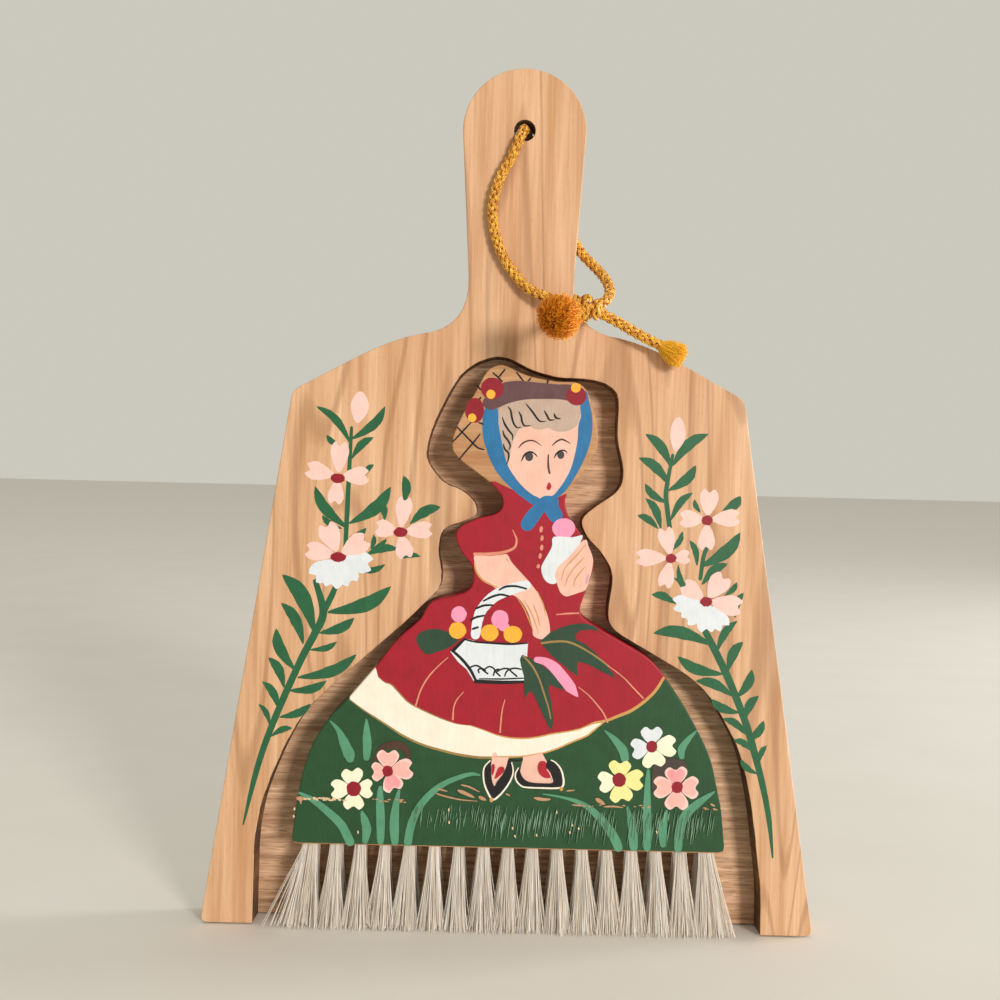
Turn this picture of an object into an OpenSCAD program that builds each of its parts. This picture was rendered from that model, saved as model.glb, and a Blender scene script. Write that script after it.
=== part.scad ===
// Wooden crumb pan with a figure-shaped brush that nests in its recess.
// Millimetres. The board stands in the XZ plane with its face towards -Y and +Z up.
// The origin is the centre of the hanging hole, on the front face of the pan.

/* [Pan] */
// Thickness of the front board, which is the depth of the recess
frame_t = 8.5; // [7:0.1:11]
// Thickness of the plywood panel behind it
back_t = 4; // [3:0.1:6]
// Width across the feet
foot_w = 186; // [150:1:225]
// Width across the shoulder corners
shoulder_w = 136; // [110:1:160]
// Drop from the hanging hole to the shoulder corners
shoulder_drop = 79; // [70:1:95]
// Drop from the hanging hole to the feet
foot_drop = 241; // [200:1:290]
// Drop from the hanging hole to the top edge of the back panel
back_top_drop = 60; // [50:1:64]

/* [Handle] */
// Width of the handle across its round top
handle_w = 37; // [32:0.5:44]
// Width of the handle at the neck
neck_w = 31.6; // [27:0.2:36]
// Drop from the hanging hole to the narrowest part of the neck
neck_drop = 44; // [38:1:48]
// Diameter of the hanging hole
hole_d = 6.2; // [6:0.1:9]

/* [Brush] */
// Thickness of the brush, figure and stock alike
brush_t = 12.2; // [10:0.1:15]
// Clearance between the back of the brush and the floor of the recess
floor_gap = 0.3; // [0.2:0.1:1]
// Height of the stock that holds the tufts
stock_h = 13.5; // [12:0.5:18]
// Diameter of the peg that carries the brush
peg_d = 6; // [4:0.5:9]
// How far the peg stands out of the recess floor
peg_proud = 7; // [5:0.5:8]
// Radial clearance of the peg in the brush
peg_clearance = 0.05; // [0.02:0.01:0.1]

/* [Bristles] */
// Tufts in each row
tuft_count = 17; // [13:1:17]
// Diameter of a tuft at its hole
tuft_d = 3; // [2.4:0.1:3.8]
// Space left between the tips of neighbouring tufts, and between the tips and the recess floor
tip_gap = 0.8; // [0.2:0.1:1.2]
// Length of bristle outside the stock
tuft_out = 26; // [20:0.5:32]
// Depth to which a tuft is set in the stock
tuft_in = 7.5; // [6:0.5:8.5]
// Distance from the front or the back of the stock to the middle of the nearer row
row_inset = 3; // [2.6:0.1:3.4]
// Distance from the end of the stock to the middle of the last tuft
end_margin = 5.5; // [4:0.5:9]
// Lean of the last tuft of a row, in degrees
end_lean = 4; // [0:0.5:6]

/* [Cord] */
// Diameter of the hanging cord
cord_d = 3.2; // [2.4:0.1:3.4]

/* [Hidden] */
$fn = 48;
CUT = 1;
CURVE_STEPS = 4;
CORD_STEPS = 2;
CORD_SIDES = 8;

// The outlines of the recess and the figure are drawn on a pan of these sizes and follow the real one.
DRAWN_FOOT_W = 186;
DRAWN_SHOULDER = 79;
DRAWN_FOOT = 241;
scale_x = foot_w / DRAWN_FOOT_W;
scale_z = (foot_drop - shoulder_drop) / (DRAWN_FOOT - DRAWN_SHOULDER);

corner_r = 2;
brush_front = frame_t - floor_gap - brush_t;
front_row_y = brush_front + row_inset;
rear_row_y = brush_front + brush_t - row_inset;

// The stock: the straight foot of the brush
stock_w = 130 * scale_x;
stock_foot = place([0, -215]).y;
stock_top = stock_foot + stock_h;
stock_narrow = 1.5;
tuft_pitch = (stock_w - 2 * end_margin) / (tuft_count - 1);
tip_d = min(rear_row_y - front_row_y, tuft_pitch, 2 * (row_inset + floor_gap)) - tip_gap;
wire_h = 1.5;
wire_t = 0.5;
wire_w = tuft_d - 0.3;

// The peg stands behind the figure's waist.
peg_at = place([3, -128]);
peg_chamfer = 0.8;

// The recess, up the left side, round the head and down the right side
RECESS = [
    [-77, -260], [-77, -225], [-76, -210], [-72.5, -197], [-65, -180.5], [-56.5, -170], [-43, -157.5],
    [-33.5, -149], [-27, -142.5], [-22.5, -137.5], [-22, -132], [-23, -126], [-21.5, -120], [-16, -117.5],
    [-12, -115.5], [-12.5, -111.5], [-16.5, -108], [-22, -105.5], [-26.5, -100], [-27, -95], [-25, -88],
    [-20, -77.5], [-16, -72], [-10, -68.5], [-4, -68], [4, -71.5], [12, -73.5], [22, -74], [27.5, -76],
    [30, -80], [30, -91], [32, -101], [30.5, -107], [24, -112], [20, -116], [21.5, -121], [26.5, -126.5],
    [29.5, -133], [28.5, -144], [31, -149.5], [42, -156], [53, -162.5], [60, -169], [65, -177],
    [69.5, -186], [73, -200], [75.5, -217], [77, -232], [77, -260]
];

// The figure above its stock, from the left end of the joint round the head to the right end
FIGURE = [
    [-63.5, -201.5], [-62, -193.5], [-59, -184.5], [-54, -176.5], [-48.5, -170.5], [-41, -161.5],
    [-34.5, -153], [-28, -147], [-24.5, -141.5], [-17.5, -139.5], [-13, -137], [-12.5, -131],
    [-16.5, -125.5], [-17.5, -120], [-12, -116.5], [-5.5, -114.5], [-4, -110.5], [-8, -105.5], [-17.5, -98.5],
    [-19.5, -94], [-17.5, -87.5], [-12.5, -78], [-9.5, -72.5], [-5, -70.5], [2.5, -73.5], [11, -75],
    [18, -75.5], [21.5, -80.5], [24, -92], [21, -100], [15, -108.5], [15.5, -114.5], [20, -121],
    [23.5, -129], [21, -138], [20, -144], [26, -148.5], [35, -153.5], [42.5, -158.5], [50, -168.5],
    [56, -178.5], [60, -187], [62.5, -197], [63.5, -201.5]
];

// The cord's front run: from inside the hole, down the handle, through the knot, to the right-hand end
FRONT_RUN = [
    [0, 4.2, 1.3], [-0.3, 1, 0.5], [-1.1, -1.3, -1.8], [-2.2, -2.2, -4.8], [-4, -2.1, -9], [-6.5, -2, -13.5],
    [-8.3, -2, -18.5], [-9.1, -2, -24], [-8.6, -2, -29.5], [-7, -2, -35], [-4.5, -2, -40], [-1.5, -2.3, -44],
    [2.4, -3.2, -47.8], [8, -4.8, -50.5], [14, -5.6, -52.3], [19, -5.8, -53.4], [24, -5.4, -55],
    [29, -4.8, -57.3], [34, -4.4, -60], [39, -4.2, -62.5], [42, -4.2, -63.8]
];

// The cord's rear run: from inside the hole, down behind the handle, round its edge, through the knot,
// to the end that points forward
REAR_RUN = [
    [0, 4.2, 1.3], [0.4, 7.4, 0.5], [1.3, 9.7, -1.8], [2.6, 10.7, -4.8], [5, 10.6, -9.5], [8.5, 10.5, -16],
    [12, 10.5, -22.5], [15, 10.4, -28.5], [18, 10, -33.5], [21, 8, -37.2], [24, 4.5, -41], [26, 0.5, -45],
    [26.2, -3.5, -49], [23.5, -6, -52.3], [19, -7.6, -54], [15.5, -10, -55], [13.6, -14, -56],
    [12.6, -18, -56.8], [12, -22, -57.4]
];

KNOT_AT = [19, -6, -53.4];
KNOT_TURN = 26;
KNOT_L = 11;
KNOT_R = 4.2;

// The teased ends: where each starts, its radius and its length
RIGHT_END_AT = [41.5, -4.2, -63.6];
RIGHT_END_R = 2.8;
RIGHT_END_L = 7.5;
FRONT_END_AT = [12, -21.5, -57.4];
FRONT_END_R = 5.2;
FRONT_END_L = 9;

function tuft_name(row, i) = str("tuft_", row, i < 10 ? "_0" : "_", i);

// A drawn point, moved to where the real pan has it
function place(p) = [p.x * scale_x, (p.y + DRAWN_SHOULDER) * scale_z - shoulder_drop];

// A point a share t of the way from b to c, on a smooth curve through a, b, c and d
function between(a, b, c, d, t) =
    0.5 * (2 * b + (c - a) * t + (2 * a - 5 * b + 4 * c - d) * t * t + (3 * b - a - 3 * c + d) * t * t * t);

// A smooth open curve through the points p
function smooth(p, steps) = [
    for (i = [0 : len(p) - 2], s = [0 : steps - 1])
        between(p[max(i - 1, 0)], p[i], p[i + 1], p[min(i + 2, len(p) - 1)], s / steps),
    p[len(p) - 1]
];

// A cubic curve from a to d, pulled towards b and c, without its first point
function bow(a, b, c, d, steps) = [
    for (s = [1 : steps])
        let (t = s / steps, u = 1 - t)
        a * u * u * u + 3 * b * u * u * t + 3 * c * u * t * t + d * t * t * t
];

// The corner at b, rounded where the outline goes from a to b to c
function rounded(a, b, c, r) =
    let (p = b + r * (a - b) / norm(a - b), q = b + r * (c - b) / norm(c - b))
    [p, 0.25 * p + 0.5 * b + 0.25 * q, q];

function mirrored(p) = [for (i = [len(p) - 1 : -1 : 0]) [-p[i].x, p[i].y]];

// The right half of the pan's outline, from the top of the handle to the foot
function pan_side() =
    let (
        r = handle_w / 2,
        taper = atan((r - neck_w / 2) / neck_drop),
        neck = [neck_w / 2, -neck_drop],
        root = neck + [14, -17.3],
        shoulder = [shoulder_w / 2, -shoulder_drop],
        foot = [foot_w / 2, -foot_drop]
    )
    concat(
        [for (a = [90 : -6 : -taper]) r * [cos(a), sin(a)]],
        [neck],
        bow(neck, neck + [-0.5, -10], neck + [4.2, -16.3], root, 8),
        bow(root, root + [12, -2.5], shoulder + [-16, 8.5], shoulder + [-corner_r, corner_r / 2], 8),
        rounded(root, shoulder, foot, corner_r),
        rounded(shoulder, foot, [0, -foot_drop], corner_r)
    );

function pan_outline() = concat(pan_side(), mirrored(pan_side()));

function stock_outline() =
    let (
        half = stock_w / 2,
        top = half - stock_narrow,
        foot_left = [-half, stock_foot],
        foot_right = [half, stock_foot]
    )
    concat(
        [[-top, stock_top]],
        rounded([-top, stock_top], foot_left, foot_right, corner_r),
        rounded(foot_left, foot_right, [top, stock_top], corner_r),
        [[top, stock_top]]
    );

// A board in the XZ plane with its face at y = front
module board(outline, front, t) {
    translate([0, front + t, 0])
        rotate([90, 0, 0])
            linear_extrude(t)
                polygon(outline);
}

// Places its children at the mouth of tuft i's hole, leaning as that tuft does
module at_tuft(i, row_y) {
    share = 2 * (i - 1) / (tuft_count - 1) - 1;
    translate([share * (tuft_count - 1) / 2 * tuft_pitch, row_y, stock_foot])
        rotate([0, -share * end_lean, 0])
            children();
}

module all_tufts() {
    for (i = [1 : tuft_count], row_y = [front_row_y, rear_row_y])
        at_tuft(i, row_y) children();
}

module pan_frame() {
    color("burlywood")
        difference() {
            board(pan_outline(), 0, frame_t);
            board([for (p = smooth(RECESS, CURVE_STEPS)) place(p)], -CUT, frame_t + 2 * CUT);
            rotate([-90, 0, 0]) translate([0, 0, -CUT]) cylinder(d = hole_d, h = frame_t + 2 * CUT);
        }
}

// The panel has the pan's outline below a straight top edge, and carries the peg in a through hole.
module pan_back() {
    color("tan")
        difference() {
            board(pan_outline(), frame_t, back_t);
            translate([-foot_w, frame_t - CUT, -back_top_drop]) cube([2 * foot_w, back_t + 2 * CUT, foot_w]);
            peg_hole(frame_t - CUT, back_t + 2 * CUT, peg_d);
        }
}

module peg_hole(from_y, depth, d) {
    translate([peg_at.x, from_y, peg_at.y]) rotate([-90, 0, 0]) cylinder(d = d, h = depth);
}

// The peg's free end is chamfered.
module hang_peg() {
    color("peru") {
        peg_hole(frame_t - peg_proud + peg_chamfer, peg_proud - peg_chamfer + back_t, peg_d);
        translate([peg_at.x, frame_t - peg_proud, peg_at.y])
            rotate([-90, 0, 0])
                cylinder(d1 = peg_d - 2 * peg_chamfer, d2 = peg_d, h = peg_chamfer);
    }
}

module brush_figure() {
    joint = [[stock_w / 2 - stock_narrow, stock_top], [stock_narrow - stock_w / 2, stock_top]];
    color("firebrick")
        difference() {
            board(concat(smooth(figure_points(), CURVE_STEPS), joint), brush_front, brush_t);
            peg_hole(frame_t - peg_proud - CUT, peg_proud + 2 * CUT, peg_d + 2 * peg_clearance);
        }
}

// The figure's points that lie above the stock
function figure_points() = [for (p = FIGURE) if (place(p).y > stock_top + 0.4) place(p)];

module brush_stock() {
    color("darkgreen")
        difference() {
            board(stock_outline(), brush_front, brush_t);
            all_tufts() {
                cylinder(d = tuft_d, h = tuft_in + wire_h);
                bristles();
            }
        }
}

// The part of a tuft that stands out of its hole
module bristles() {
    translate([0, 0, -tuft_out]) cylinder(d1 = tip_d, d2 = tuft_d, h = tuft_out);
}

module tuft(i, row_y) {
    color("ivory")
        at_tuft(i, row_y) {
            cylinder(d = tuft_d, h = tuft_in);
            bristles();
        }
}

// A flat wire lies across each tuft at the bottom of its hole.
module tuft_wires() {
    color("silver")
        all_tufts()
            translate([-wire_w / 2, -wire_t / 2, tuft_in]) cube([wire_w, wire_t, wire_h]);
}

// The direction of a path at its point i
function along(path, i) =
    let (step = path[min(i + 1, len(path) - 1)] - path[max(i - 1, 0)])
    step / norm(step);

// One sideways direction for each point of a path, carried along it without twisting
function sides(path, i, last_side) =
    i == len(path) ? [] :
    let (t = along(path, i), side = last_side - (last_side * t) * t, unit = side / norm(side))
    concat([unit], sides(path, i + 1, unit));

// A tube swept along a run of points, its rings square to the run
module cord(run) {
    path = smooth(run, CORD_STEPS);
    side = sides(path, 0, [1, 0, 0]);
    last = len(path) - 1;
    rim = [
        for (i = [0 : last], k = [0 : CORD_SIDES - 1])
            let (a = 360 * k / CORD_SIDES)
            path[i] + cord_d / 2 * (side[i] * cos(a) + cross(along(path, i), side[i]) * sin(a))
    ];
    walls = [
        for (i = [0 : last - 1], k = [0 : CORD_SIDES - 1])
            let (m = (k + 1) % CORD_SIDES, a = i * CORD_SIDES, b = a + CORD_SIDES)
            [a + k, b + k, b + m, a + m]
    ];
    start = [for (k = [0 : CORD_SIDES - 1]) k];
    end = [for (k = [CORD_SIDES - 1 : -1 : 0]) last * CORD_SIDES + k];
    polyhedron(points = rim, faces = concat([start], walls, [end]));
}

module cord_front() {
    color("goldenrod") cord(FRONT_RUN);
}

module cord_rear() {
    color("goldenrod") cord(REAR_RUN);
}

module cord_knot() {
    color("darkgoldenrod")
        translate(KNOT_AT)
            rotate([0, KNOT_TURN + 90, 0])
                rotate_extrude()
                    intersection() {
                        union() {
                            translate([0, KNOT_R - KNOT_L / 2]) circle(r = KNOT_R);
                            translate([0, KNOT_L / 2 - KNOT_R]) circle(r = KNOT_R);
                            translate([0, KNOT_R - KNOT_L / 2]) square([KNOT_R, KNOT_L - 2 * KNOT_R]);
                        }
                        translate([0, -KNOT_L]) square([KNOT_R + CUT, 2 * KNOT_L]);
                    }
}

// A cut end teased out into a soft bulb
module frayed_end(r, l) {
    rotate_extrude()
        polygon([[0, 0], [cord_d / 2, 0], [r, 0.45 * l], [0.9 * r, 0.8 * l], [0.5 * r, l], [0, l]]);
}

module cord_end_right() {
    color("gold") translate(RIGHT_END_AT) rotate([0, 118, 0]) frayed_end(RIGHT_END_R, RIGHT_END_L);
}

module cord_end_front() {
    color("gold") translate(FRONT_END_AT) rotate([98, 0, -8]) frayed_end(FRONT_END_R, FRONT_END_L);
}

pan_frame();
pan_back();
hang_peg();
brush_figure();
brush_stock();
tuft_wires();
cord_front();
cord_rear();
cord_knot();
cord_end_right();
cord_end_front();
for (i = [1 : tuft_count]) {
    tuft(i, front_row_y);
    tuft(i, rear_row_y);
}
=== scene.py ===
"""A wooden crumb pan with a figure-shaped brush in its recess, hand painted, with a braided hanging cord."""

import logging
import math
import random
from dataclasses import dataclass, field
from enum import Enum
from typing import Dict, List, Optional, Sequence, Tuple, Union

import bmesh
import bpy
from mathutils import Matrix, Vector


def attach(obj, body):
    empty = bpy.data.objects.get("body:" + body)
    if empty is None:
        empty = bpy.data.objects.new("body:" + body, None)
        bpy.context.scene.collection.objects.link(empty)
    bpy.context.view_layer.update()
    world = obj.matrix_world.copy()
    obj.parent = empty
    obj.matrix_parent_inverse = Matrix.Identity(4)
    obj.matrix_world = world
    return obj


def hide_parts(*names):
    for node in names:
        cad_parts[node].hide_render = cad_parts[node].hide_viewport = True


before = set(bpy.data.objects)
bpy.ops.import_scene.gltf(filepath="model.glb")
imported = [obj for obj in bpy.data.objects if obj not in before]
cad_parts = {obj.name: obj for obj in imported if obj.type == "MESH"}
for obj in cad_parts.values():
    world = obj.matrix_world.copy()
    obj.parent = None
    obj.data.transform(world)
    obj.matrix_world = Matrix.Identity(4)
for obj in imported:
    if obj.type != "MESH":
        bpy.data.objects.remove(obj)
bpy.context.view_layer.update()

log = logging.getLogger("crumb_set")

MM = 0.001
Flat = Tuple[float, float]
Spot = Tuple[float, float, float]
Shape = List[Flat]
Socket = bpy.types.NodeSocket
Inputs = Dict[Union[str, int], object]


# ---------------------------------------------------------------- small helpers


def linear(code: str) -> Tuple[float, float, float, float]:
    """Turns an sRGB hex colour into linear light.

    Args:
        code: the colour, such as "#d8a873".

    Returns:
        Red, green, blue and an alpha of 1.
    """
    parts = [int(code[i : i + 2], 16) / 255 for i in (1, 3, 5)]
    light = [c / 12.92 if c <= 0.04045 else ((c + 0.055) / 1.055) ** 2.4 for c in parts]
    return light[0], light[1], light[2], 1.0


def connect(tree: bpy.types.NodeTree, node: bpy.types.Node, inputs: Inputs) -> None:
    """Sets each input of a node to its value, or links it to the socket that feeds it.

    Args:
        tree: the node's tree.
        node: the node.
        inputs: input names or numbers, with a value or an output socket.
    """
    for key, value in inputs.items():
        if isinstance(value, Socket):
            tree.links.new(value, node.inputs[key])
        else:
            node.inputs[key].default_value = value


def add_node(
    tree: bpy.types.NodeTree, kind: str, settings: Optional[Dict[str, object]] = None, inputs: Optional[Inputs] = None
) -> bpy.types.Node:
    """Adds a node with its settings and its inputs.

    Args:
        tree: the tree to add to.
        kind: the node's type.
        settings: the node's own properties.
        inputs: input names or numbers, with a value or an output socket.

    Returns:
        The new node.
    """
    node = tree.nodes.new(kind)
    for key, value in (settings or {}).items():
        setattr(node, key, value)
    connect(tree, node, inputs or {})
    return node


class Recipe:
    """One material in the making: its node tree, its shader and the piece's own coordinates, in metres."""

    def __init__(self, name: str) -> None:
        """Starts the material with its shader and its output.

        Args:
            name: the material's name.
        """
        self.material = bpy.data.materials.new(name)
        self.material.use_nodes = True
        self.tree = self.material.node_tree
        self.tree.nodes.clear()
        self.shader = add_node(self.tree, "ShaderNodeBsdfPrincipled")
        add_node(self.tree, "ShaderNodeOutputMaterial", inputs={"Surface": self.shader.outputs[0]})
        self.coords = add_node(self.tree, "ShaderNodeTexCoord").outputs["Object"]

    def shade(self, inputs: Inputs) -> None:
        """Sets or links inputs of the shader itself."""
        connect(self.tree, self.shader, inputs)

    def attribute(self, name: str) -> Socket:
        """Reads a number that the mesh keeps on its points."""
        return add_node(self.tree, "ShaderNodeAttribute", {"attribute_name": name}).outputs["Fac"]

    def maths(self, kind: str, *numbers: object) -> Socket:
        """Adds a sum on up to three numbers or sockets."""
        return add_node(self.tree, "ShaderNodeMath", {"operation": kind}, dict(enumerate(numbers))).outputs[0]

    def ramp(self, factor: Socket, *stops: Tuple[float, str]) -> Socket:
        """Adds a colour ramp.

        Args:
            factor: the socket that picks the colour.
            stops: positions and hex colours, from low to high.

        Returns:
            The ramp's colour socket.
        """
        node = add_node(self.tree, "ShaderNodeValToRGB", inputs={"Fac": factor})
        stems = node.color_ramp.elements
        while len(stems) < len(stops):
            stems.new(1.0)
        for stem, (place, code) in zip(stems, stops):
            stem.position = place
            stem.color = linear(code)
        return node.outputs["Color"]

    def mix(self, blend: str, factor: object, below: object, above: object) -> Socket:
        """Mixes two colours.

        Args:
            blend: the blend type, such as "MIX" or "MULTIPLY".
            factor: how much of the upper colour shows.
            below: the lower colour or socket.
            above: the upper colour or socket.

        Returns:
            The mixed colour's socket.
        """
        settings = {"data_type": "RGBA", "blend_type": blend}
        return add_node(self.tree, "ShaderNodeMix", settings, {0: factor, 6: below, 7: above}).outputs[2]

    def noise(self, cells_mm: Spot, detail: float = 2.0, twist: float = 0.0, shift: Spot = (0, 0, 0)) -> Socket:
        """Adds noise whose features have a real size.

        Args:
            cells_mm: the features' size along X, Y and Z.
            detail: octaves of finer noise.
            twist: distortion.
            shift: an offset that keeps two noises apart.

        Returns:
            The noise's value socket.
        """
        scale = tuple(1 / (MM * c) for c in cells_mm)
        inputs = {"Vector": self.coords, "Scale": scale, "Location": shift}
        place = add_node(self.tree, "ShaderNodeMapping", inputs=inputs).outputs[0]
        inputs = {"Vector": place, "Scale": 1.0, "Detail": detail, "Distortion": twist}
        return add_node(self.tree, "ShaderNodeTexNoise", inputs=inputs).outputs["Fac"]

    def spread(self, value: Socket, source: Flat, target: Flat) -> Socket:
        """Maps one range of a value onto another, clamped.

        Args:
            value: the socket to map.
            source: the range that comes in.
            target: the range that goes out.

        Returns:
            The mapped value's socket.
        """
        ends = dict(enumerate((*source, *target), 1))
        return add_node(self.tree, "ShaderNodeMapRange", inputs={"Value": value, **ends}).outputs[0]

    def bump(self, height: Socket, strength: float, relief_mm: float) -> None:
        """Raises the surface by a height, to a real depth."""
        inputs = {"Height": height, "Strength": strength, "Distance": relief_mm * MM}
        self.shade({"Normal": add_node(self.tree, "ShaderNodeBump", inputs=inputs).outputs[0]})


# ---------------------------------------------------------------- finishes


@dataclass(frozen=True)
class Finish:
    """What every finish has: a name, and a way to be made."""

    name: str

    def build(self) -> bpy.types.Material:
        """Makes the material.

        Returns:
            The finished material.
        """
        recipe = Recipe(self.name)
        self.prepare(recipe)
        return recipe.material

    def prepare(self, recipe: Recipe) -> None:
        """Adds the finish's own nodes."""
        raise NotImplementedError


class Grain(Enum):
    """The way that a board's grain runs."""

    UPRIGHT = "Z"
    ACROSS = "X"
    THROUGH = "Y"


@dataclass(frozen=True)
class Wood(Finish):
    """Planed or sawn wood under a thin lacquer: soft bands, fine year lines, fibre and short dark pores."""

    pale: str
    deep: str
    pore: str
    grain: Grain
    band_mm: float = 7.0
    band_long: float = 14.0
    fibre_mm: float = 0.7
    fibre_long: float = 40.0
    fibre_strength: float = 0.35
    line_mm: float = 26.0
    line_long: float = 9.0
    line_turns: float = 70.0
    line_strength: float = 0.22
    pore_mm: float = 0.32
    pore_long: float = 9.0
    pore_amount: float = 0.36
    pore_depth: float = 0.3
    pore_edge: float = 0.06
    roughness: float = 0.5
    coat: float = 0.06
    coat_roughness: float = 0.32
    relief_mm: float = 0.03

    def cells(self, across: float, times: float) -> Spot:
        """Returns feature sizes that are `times` longer along the grain."""
        size = {"X": across, "Y": across, "Z": across}
        size[self.grain.value] = across * times
        return size["X"], size["Y"], size["Z"]

    def prepare(self, recipe: Recipe) -> None:
        """Lays the bands, then the year lines, the fibre and the pores over them."""
        bands = recipe.noise(self.cells(self.band_mm, self.band_long), 3.0, 0.5)
        fibre = recipe.noise(self.cells(self.fibre_mm, self.fibre_long), 3.0, 0.0, (3, 1, 7))
        pores = recipe.noise(self.cells(self.pore_mm, self.pore_long), 1.0, 0.2, (5, 2, 1))
        years = recipe.noise(self.cells(self.line_mm, self.line_long), 1.0, 0.3, (9, 4, 2))
        colour = recipe.ramp(recipe.spread(bands, (0.32, 0.68), (0, 1)), (0.0, self.pale), (1.0, self.deep))
        swing = recipe.maths("SINE", recipe.maths("MULTIPLY", years, self.line_turns))
        line = recipe.spread(swing, (0.66, 1.0), (0.0, self.line_strength))
        colour = recipe.mix("MIX", line, colour, linear(self.pore))
        thread = recipe.spread(fibre, (0.3, 0.7), (0.0, self.fibre_strength))
        colour = recipe.mix("MULTIPLY", thread, colour, linear(self.deep))
        limit = 1.0 - self.pore_amount
        dots = recipe.spread(pores, (limit - self.pore_edge, limit + self.pore_edge), (0.0, self.pore_depth))
        recipe.shade({
            "Base Color": recipe.mix("MIX", dots, colour, linear(self.pore)),
            "Roughness": recipe.spread(fibre, (0.2, 0.8), (self.roughness, self.roughness + 0.14)),
            "Coat Weight": self.coat, "Coat Roughness": self.coat_roughness,
        })
        recipe.bump(recipe.maths("SUBTRACT", fibre, dots), 0.5, self.relief_mm)


@dataclass(frozen=True)
class SawnWallWithShade(Finish):
    """A wall that a coarse jigsaw blade left, with ridges that run through the board: its dark brown is partly the
    rough grain and partly painted shade of the recess.
    """

    pale: str
    deep: str
    ridge_mm: float = 0.9
    ridge_long_mm: float = 24.0
    blotch_mm: float = 9.0
    roughness: float = 0.85
    relief_mm: float = 0.25

    def prepare(self, recipe: Recipe) -> None:
        """Lays the ridges over uneven blotches."""
        marks = recipe.noise((self.ridge_mm, self.ridge_long_mm, self.ridge_mm), 4.0)
        blotch = recipe.noise((self.blotch_mm,) * 3)
        both = recipe.mix("MULTIPLY", 1.0, marks, blotch)
        level = add_node(recipe.tree, "ShaderNodeRGBToBW", inputs={0: both}).outputs[0]
        # The dark end of this ramp is partly the sawn grain and partly painted shade, which deepens the recess and the
        # hole.
        colour = recipe.ramp(level, (0.12, self.deep), (0.42, self.pale))
        recipe.shade({"Base Color": colour, "Roughness": self.roughness})
        recipe.bump(marks, 0.8, self.relief_mm)


@dataclass(frozen=True)
class Enamel(Finish):
    """Brushed hobby enamel: a soft gloss, faint brush streaks and a little unevenness in its colour."""

    colour: str
    streak: str
    amount: float = 0.35
    streak_mm: Spot = (0.5, 3, 5)
    pool_mm: float = 5.0
    pool_depth: float = 0.25
    roughness: float = 0.4
    specular: float = 0.3
    coat: float = 0.16
    coat_roughness: float = 0.34
    relief_mm: float = 0.02

    def prepare(self, recipe: Recipe) -> None:
        """Lays the brush streaks, and the pools where the paint stood thicker."""
        strokes = recipe.noise(self.streak_mm, 4.0, 0.6)
        pools = recipe.noise((self.pool_mm,) * 3, 2.0, 0.3, (2, 5, 8))
        share = recipe.spread(strokes, (0.38, 0.72), (0.0, self.amount))
        colour = recipe.mix("MIX", share, linear(self.colour), linear(self.streak))
        depth = recipe.spread(pools, (0.4, 0.8), (0.0, self.pool_depth))
        recipe.shade({
            "Base Color": recipe.mix("MULTIPLY", depth, colour, linear(self.streak)),
            "Roughness": recipe.spread(pools, (0.3, 0.7), (self.roughness, self.roughness + 0.12)),
            "Specular IOR Level": self.specular, "Coat Weight": self.coat, "Coat Roughness": self.coat_roughness,
        })
        recipe.bump(strokes, 0.6, self.relief_mm)


@dataclass(frozen=True)
class Fibre(Finish):
    """A thin shiny fibre, each a little lighter or darker than the next by its `tint` attribute."""

    dark: str
    light: str
    roughness: float = 0.38
    glow: float = 0.3
    glow_mm: Spot = (0.6, 0.5, 0.4)
    speck_mm: float = 0.5

    def prepare(self, recipe: Recipe) -> None:
        """Tints each fibre and lets a little light through it."""
        level = recipe.maths("MULTIPLY_ADD", recipe.noise((self.speck_mm,) * 3), 0.5, recipe.attribute("tint"))
        place = recipe.spread(level, (0.15, 1.2), (0.0, 1.0))
        recipe.shade({
            "Base Color": recipe.ramp(place, (0.0, self.dark), (1.0, self.light)), "Roughness": self.roughness,
            "Subsurface Weight": self.glow, "Subsurface Radius": tuple(r * MM for r in self.glow_mm),
            "Subsurface Scale": 1.0,
        })


@dataclass(frozen=True)
class Yarn(Finish):
    """A rayon yarn of the braid: silky, with fine filaments that wind round the yarn."""

    shade: str
    colour: str
    gleam: str
    patch_mm: float = 1.2
    filament_depth: float = 0.16
    roughness: float = 0.36
    relief_mm: float = 0.06

    def prepare(self, recipe: Recipe) -> None:
        """Winds the filaments over soft patches of painted highlight and painted shade."""
        wave = recipe.maths("SINE", recipe.attribute("wind"))
        level = recipe.maths("MULTIPLY_ADD", wave, self.filament_depth, recipe.noise((self.patch_mm,) * 3, 3.0))
        # The ramp runs from a painted shade through the gold to a painted highlight, spread over the filaments and the
        # noise.
        recipe.shade({
            "Base Color": recipe.ramp(level, (0.3, self.shade), (0.5, self.colour), (0.68, self.gleam)),
            "Roughness": self.roughness, "Anisotropic": 0.4, "Sheen Weight": 0.25, "Sheen Roughness": 0.4,
        })
        recipe.bump(wave, 0.7, self.relief_mm)


@dataclass(frozen=True)
class Steel(Finish):
    """Flattened steel wire: bright, with drawing marks along it."""

    dull: str
    colour: str
    mark_mm: Spot = (3, 0.1, 0.1)

    def prepare(self, recipe: Recipe) -> None:
        """Draws the marks in both the colour and the polish."""
        marks = recipe.noise(self.mark_mm)
        recipe.shade({
            "Base Color": recipe.ramp(marks, (0.2, self.dull), (0.8, self.colour)),
            "Roughness": recipe.spread(marks, (0.2, 0.8), (0.25, 0.45)), "Metallic": 1.0,
        })


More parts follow.
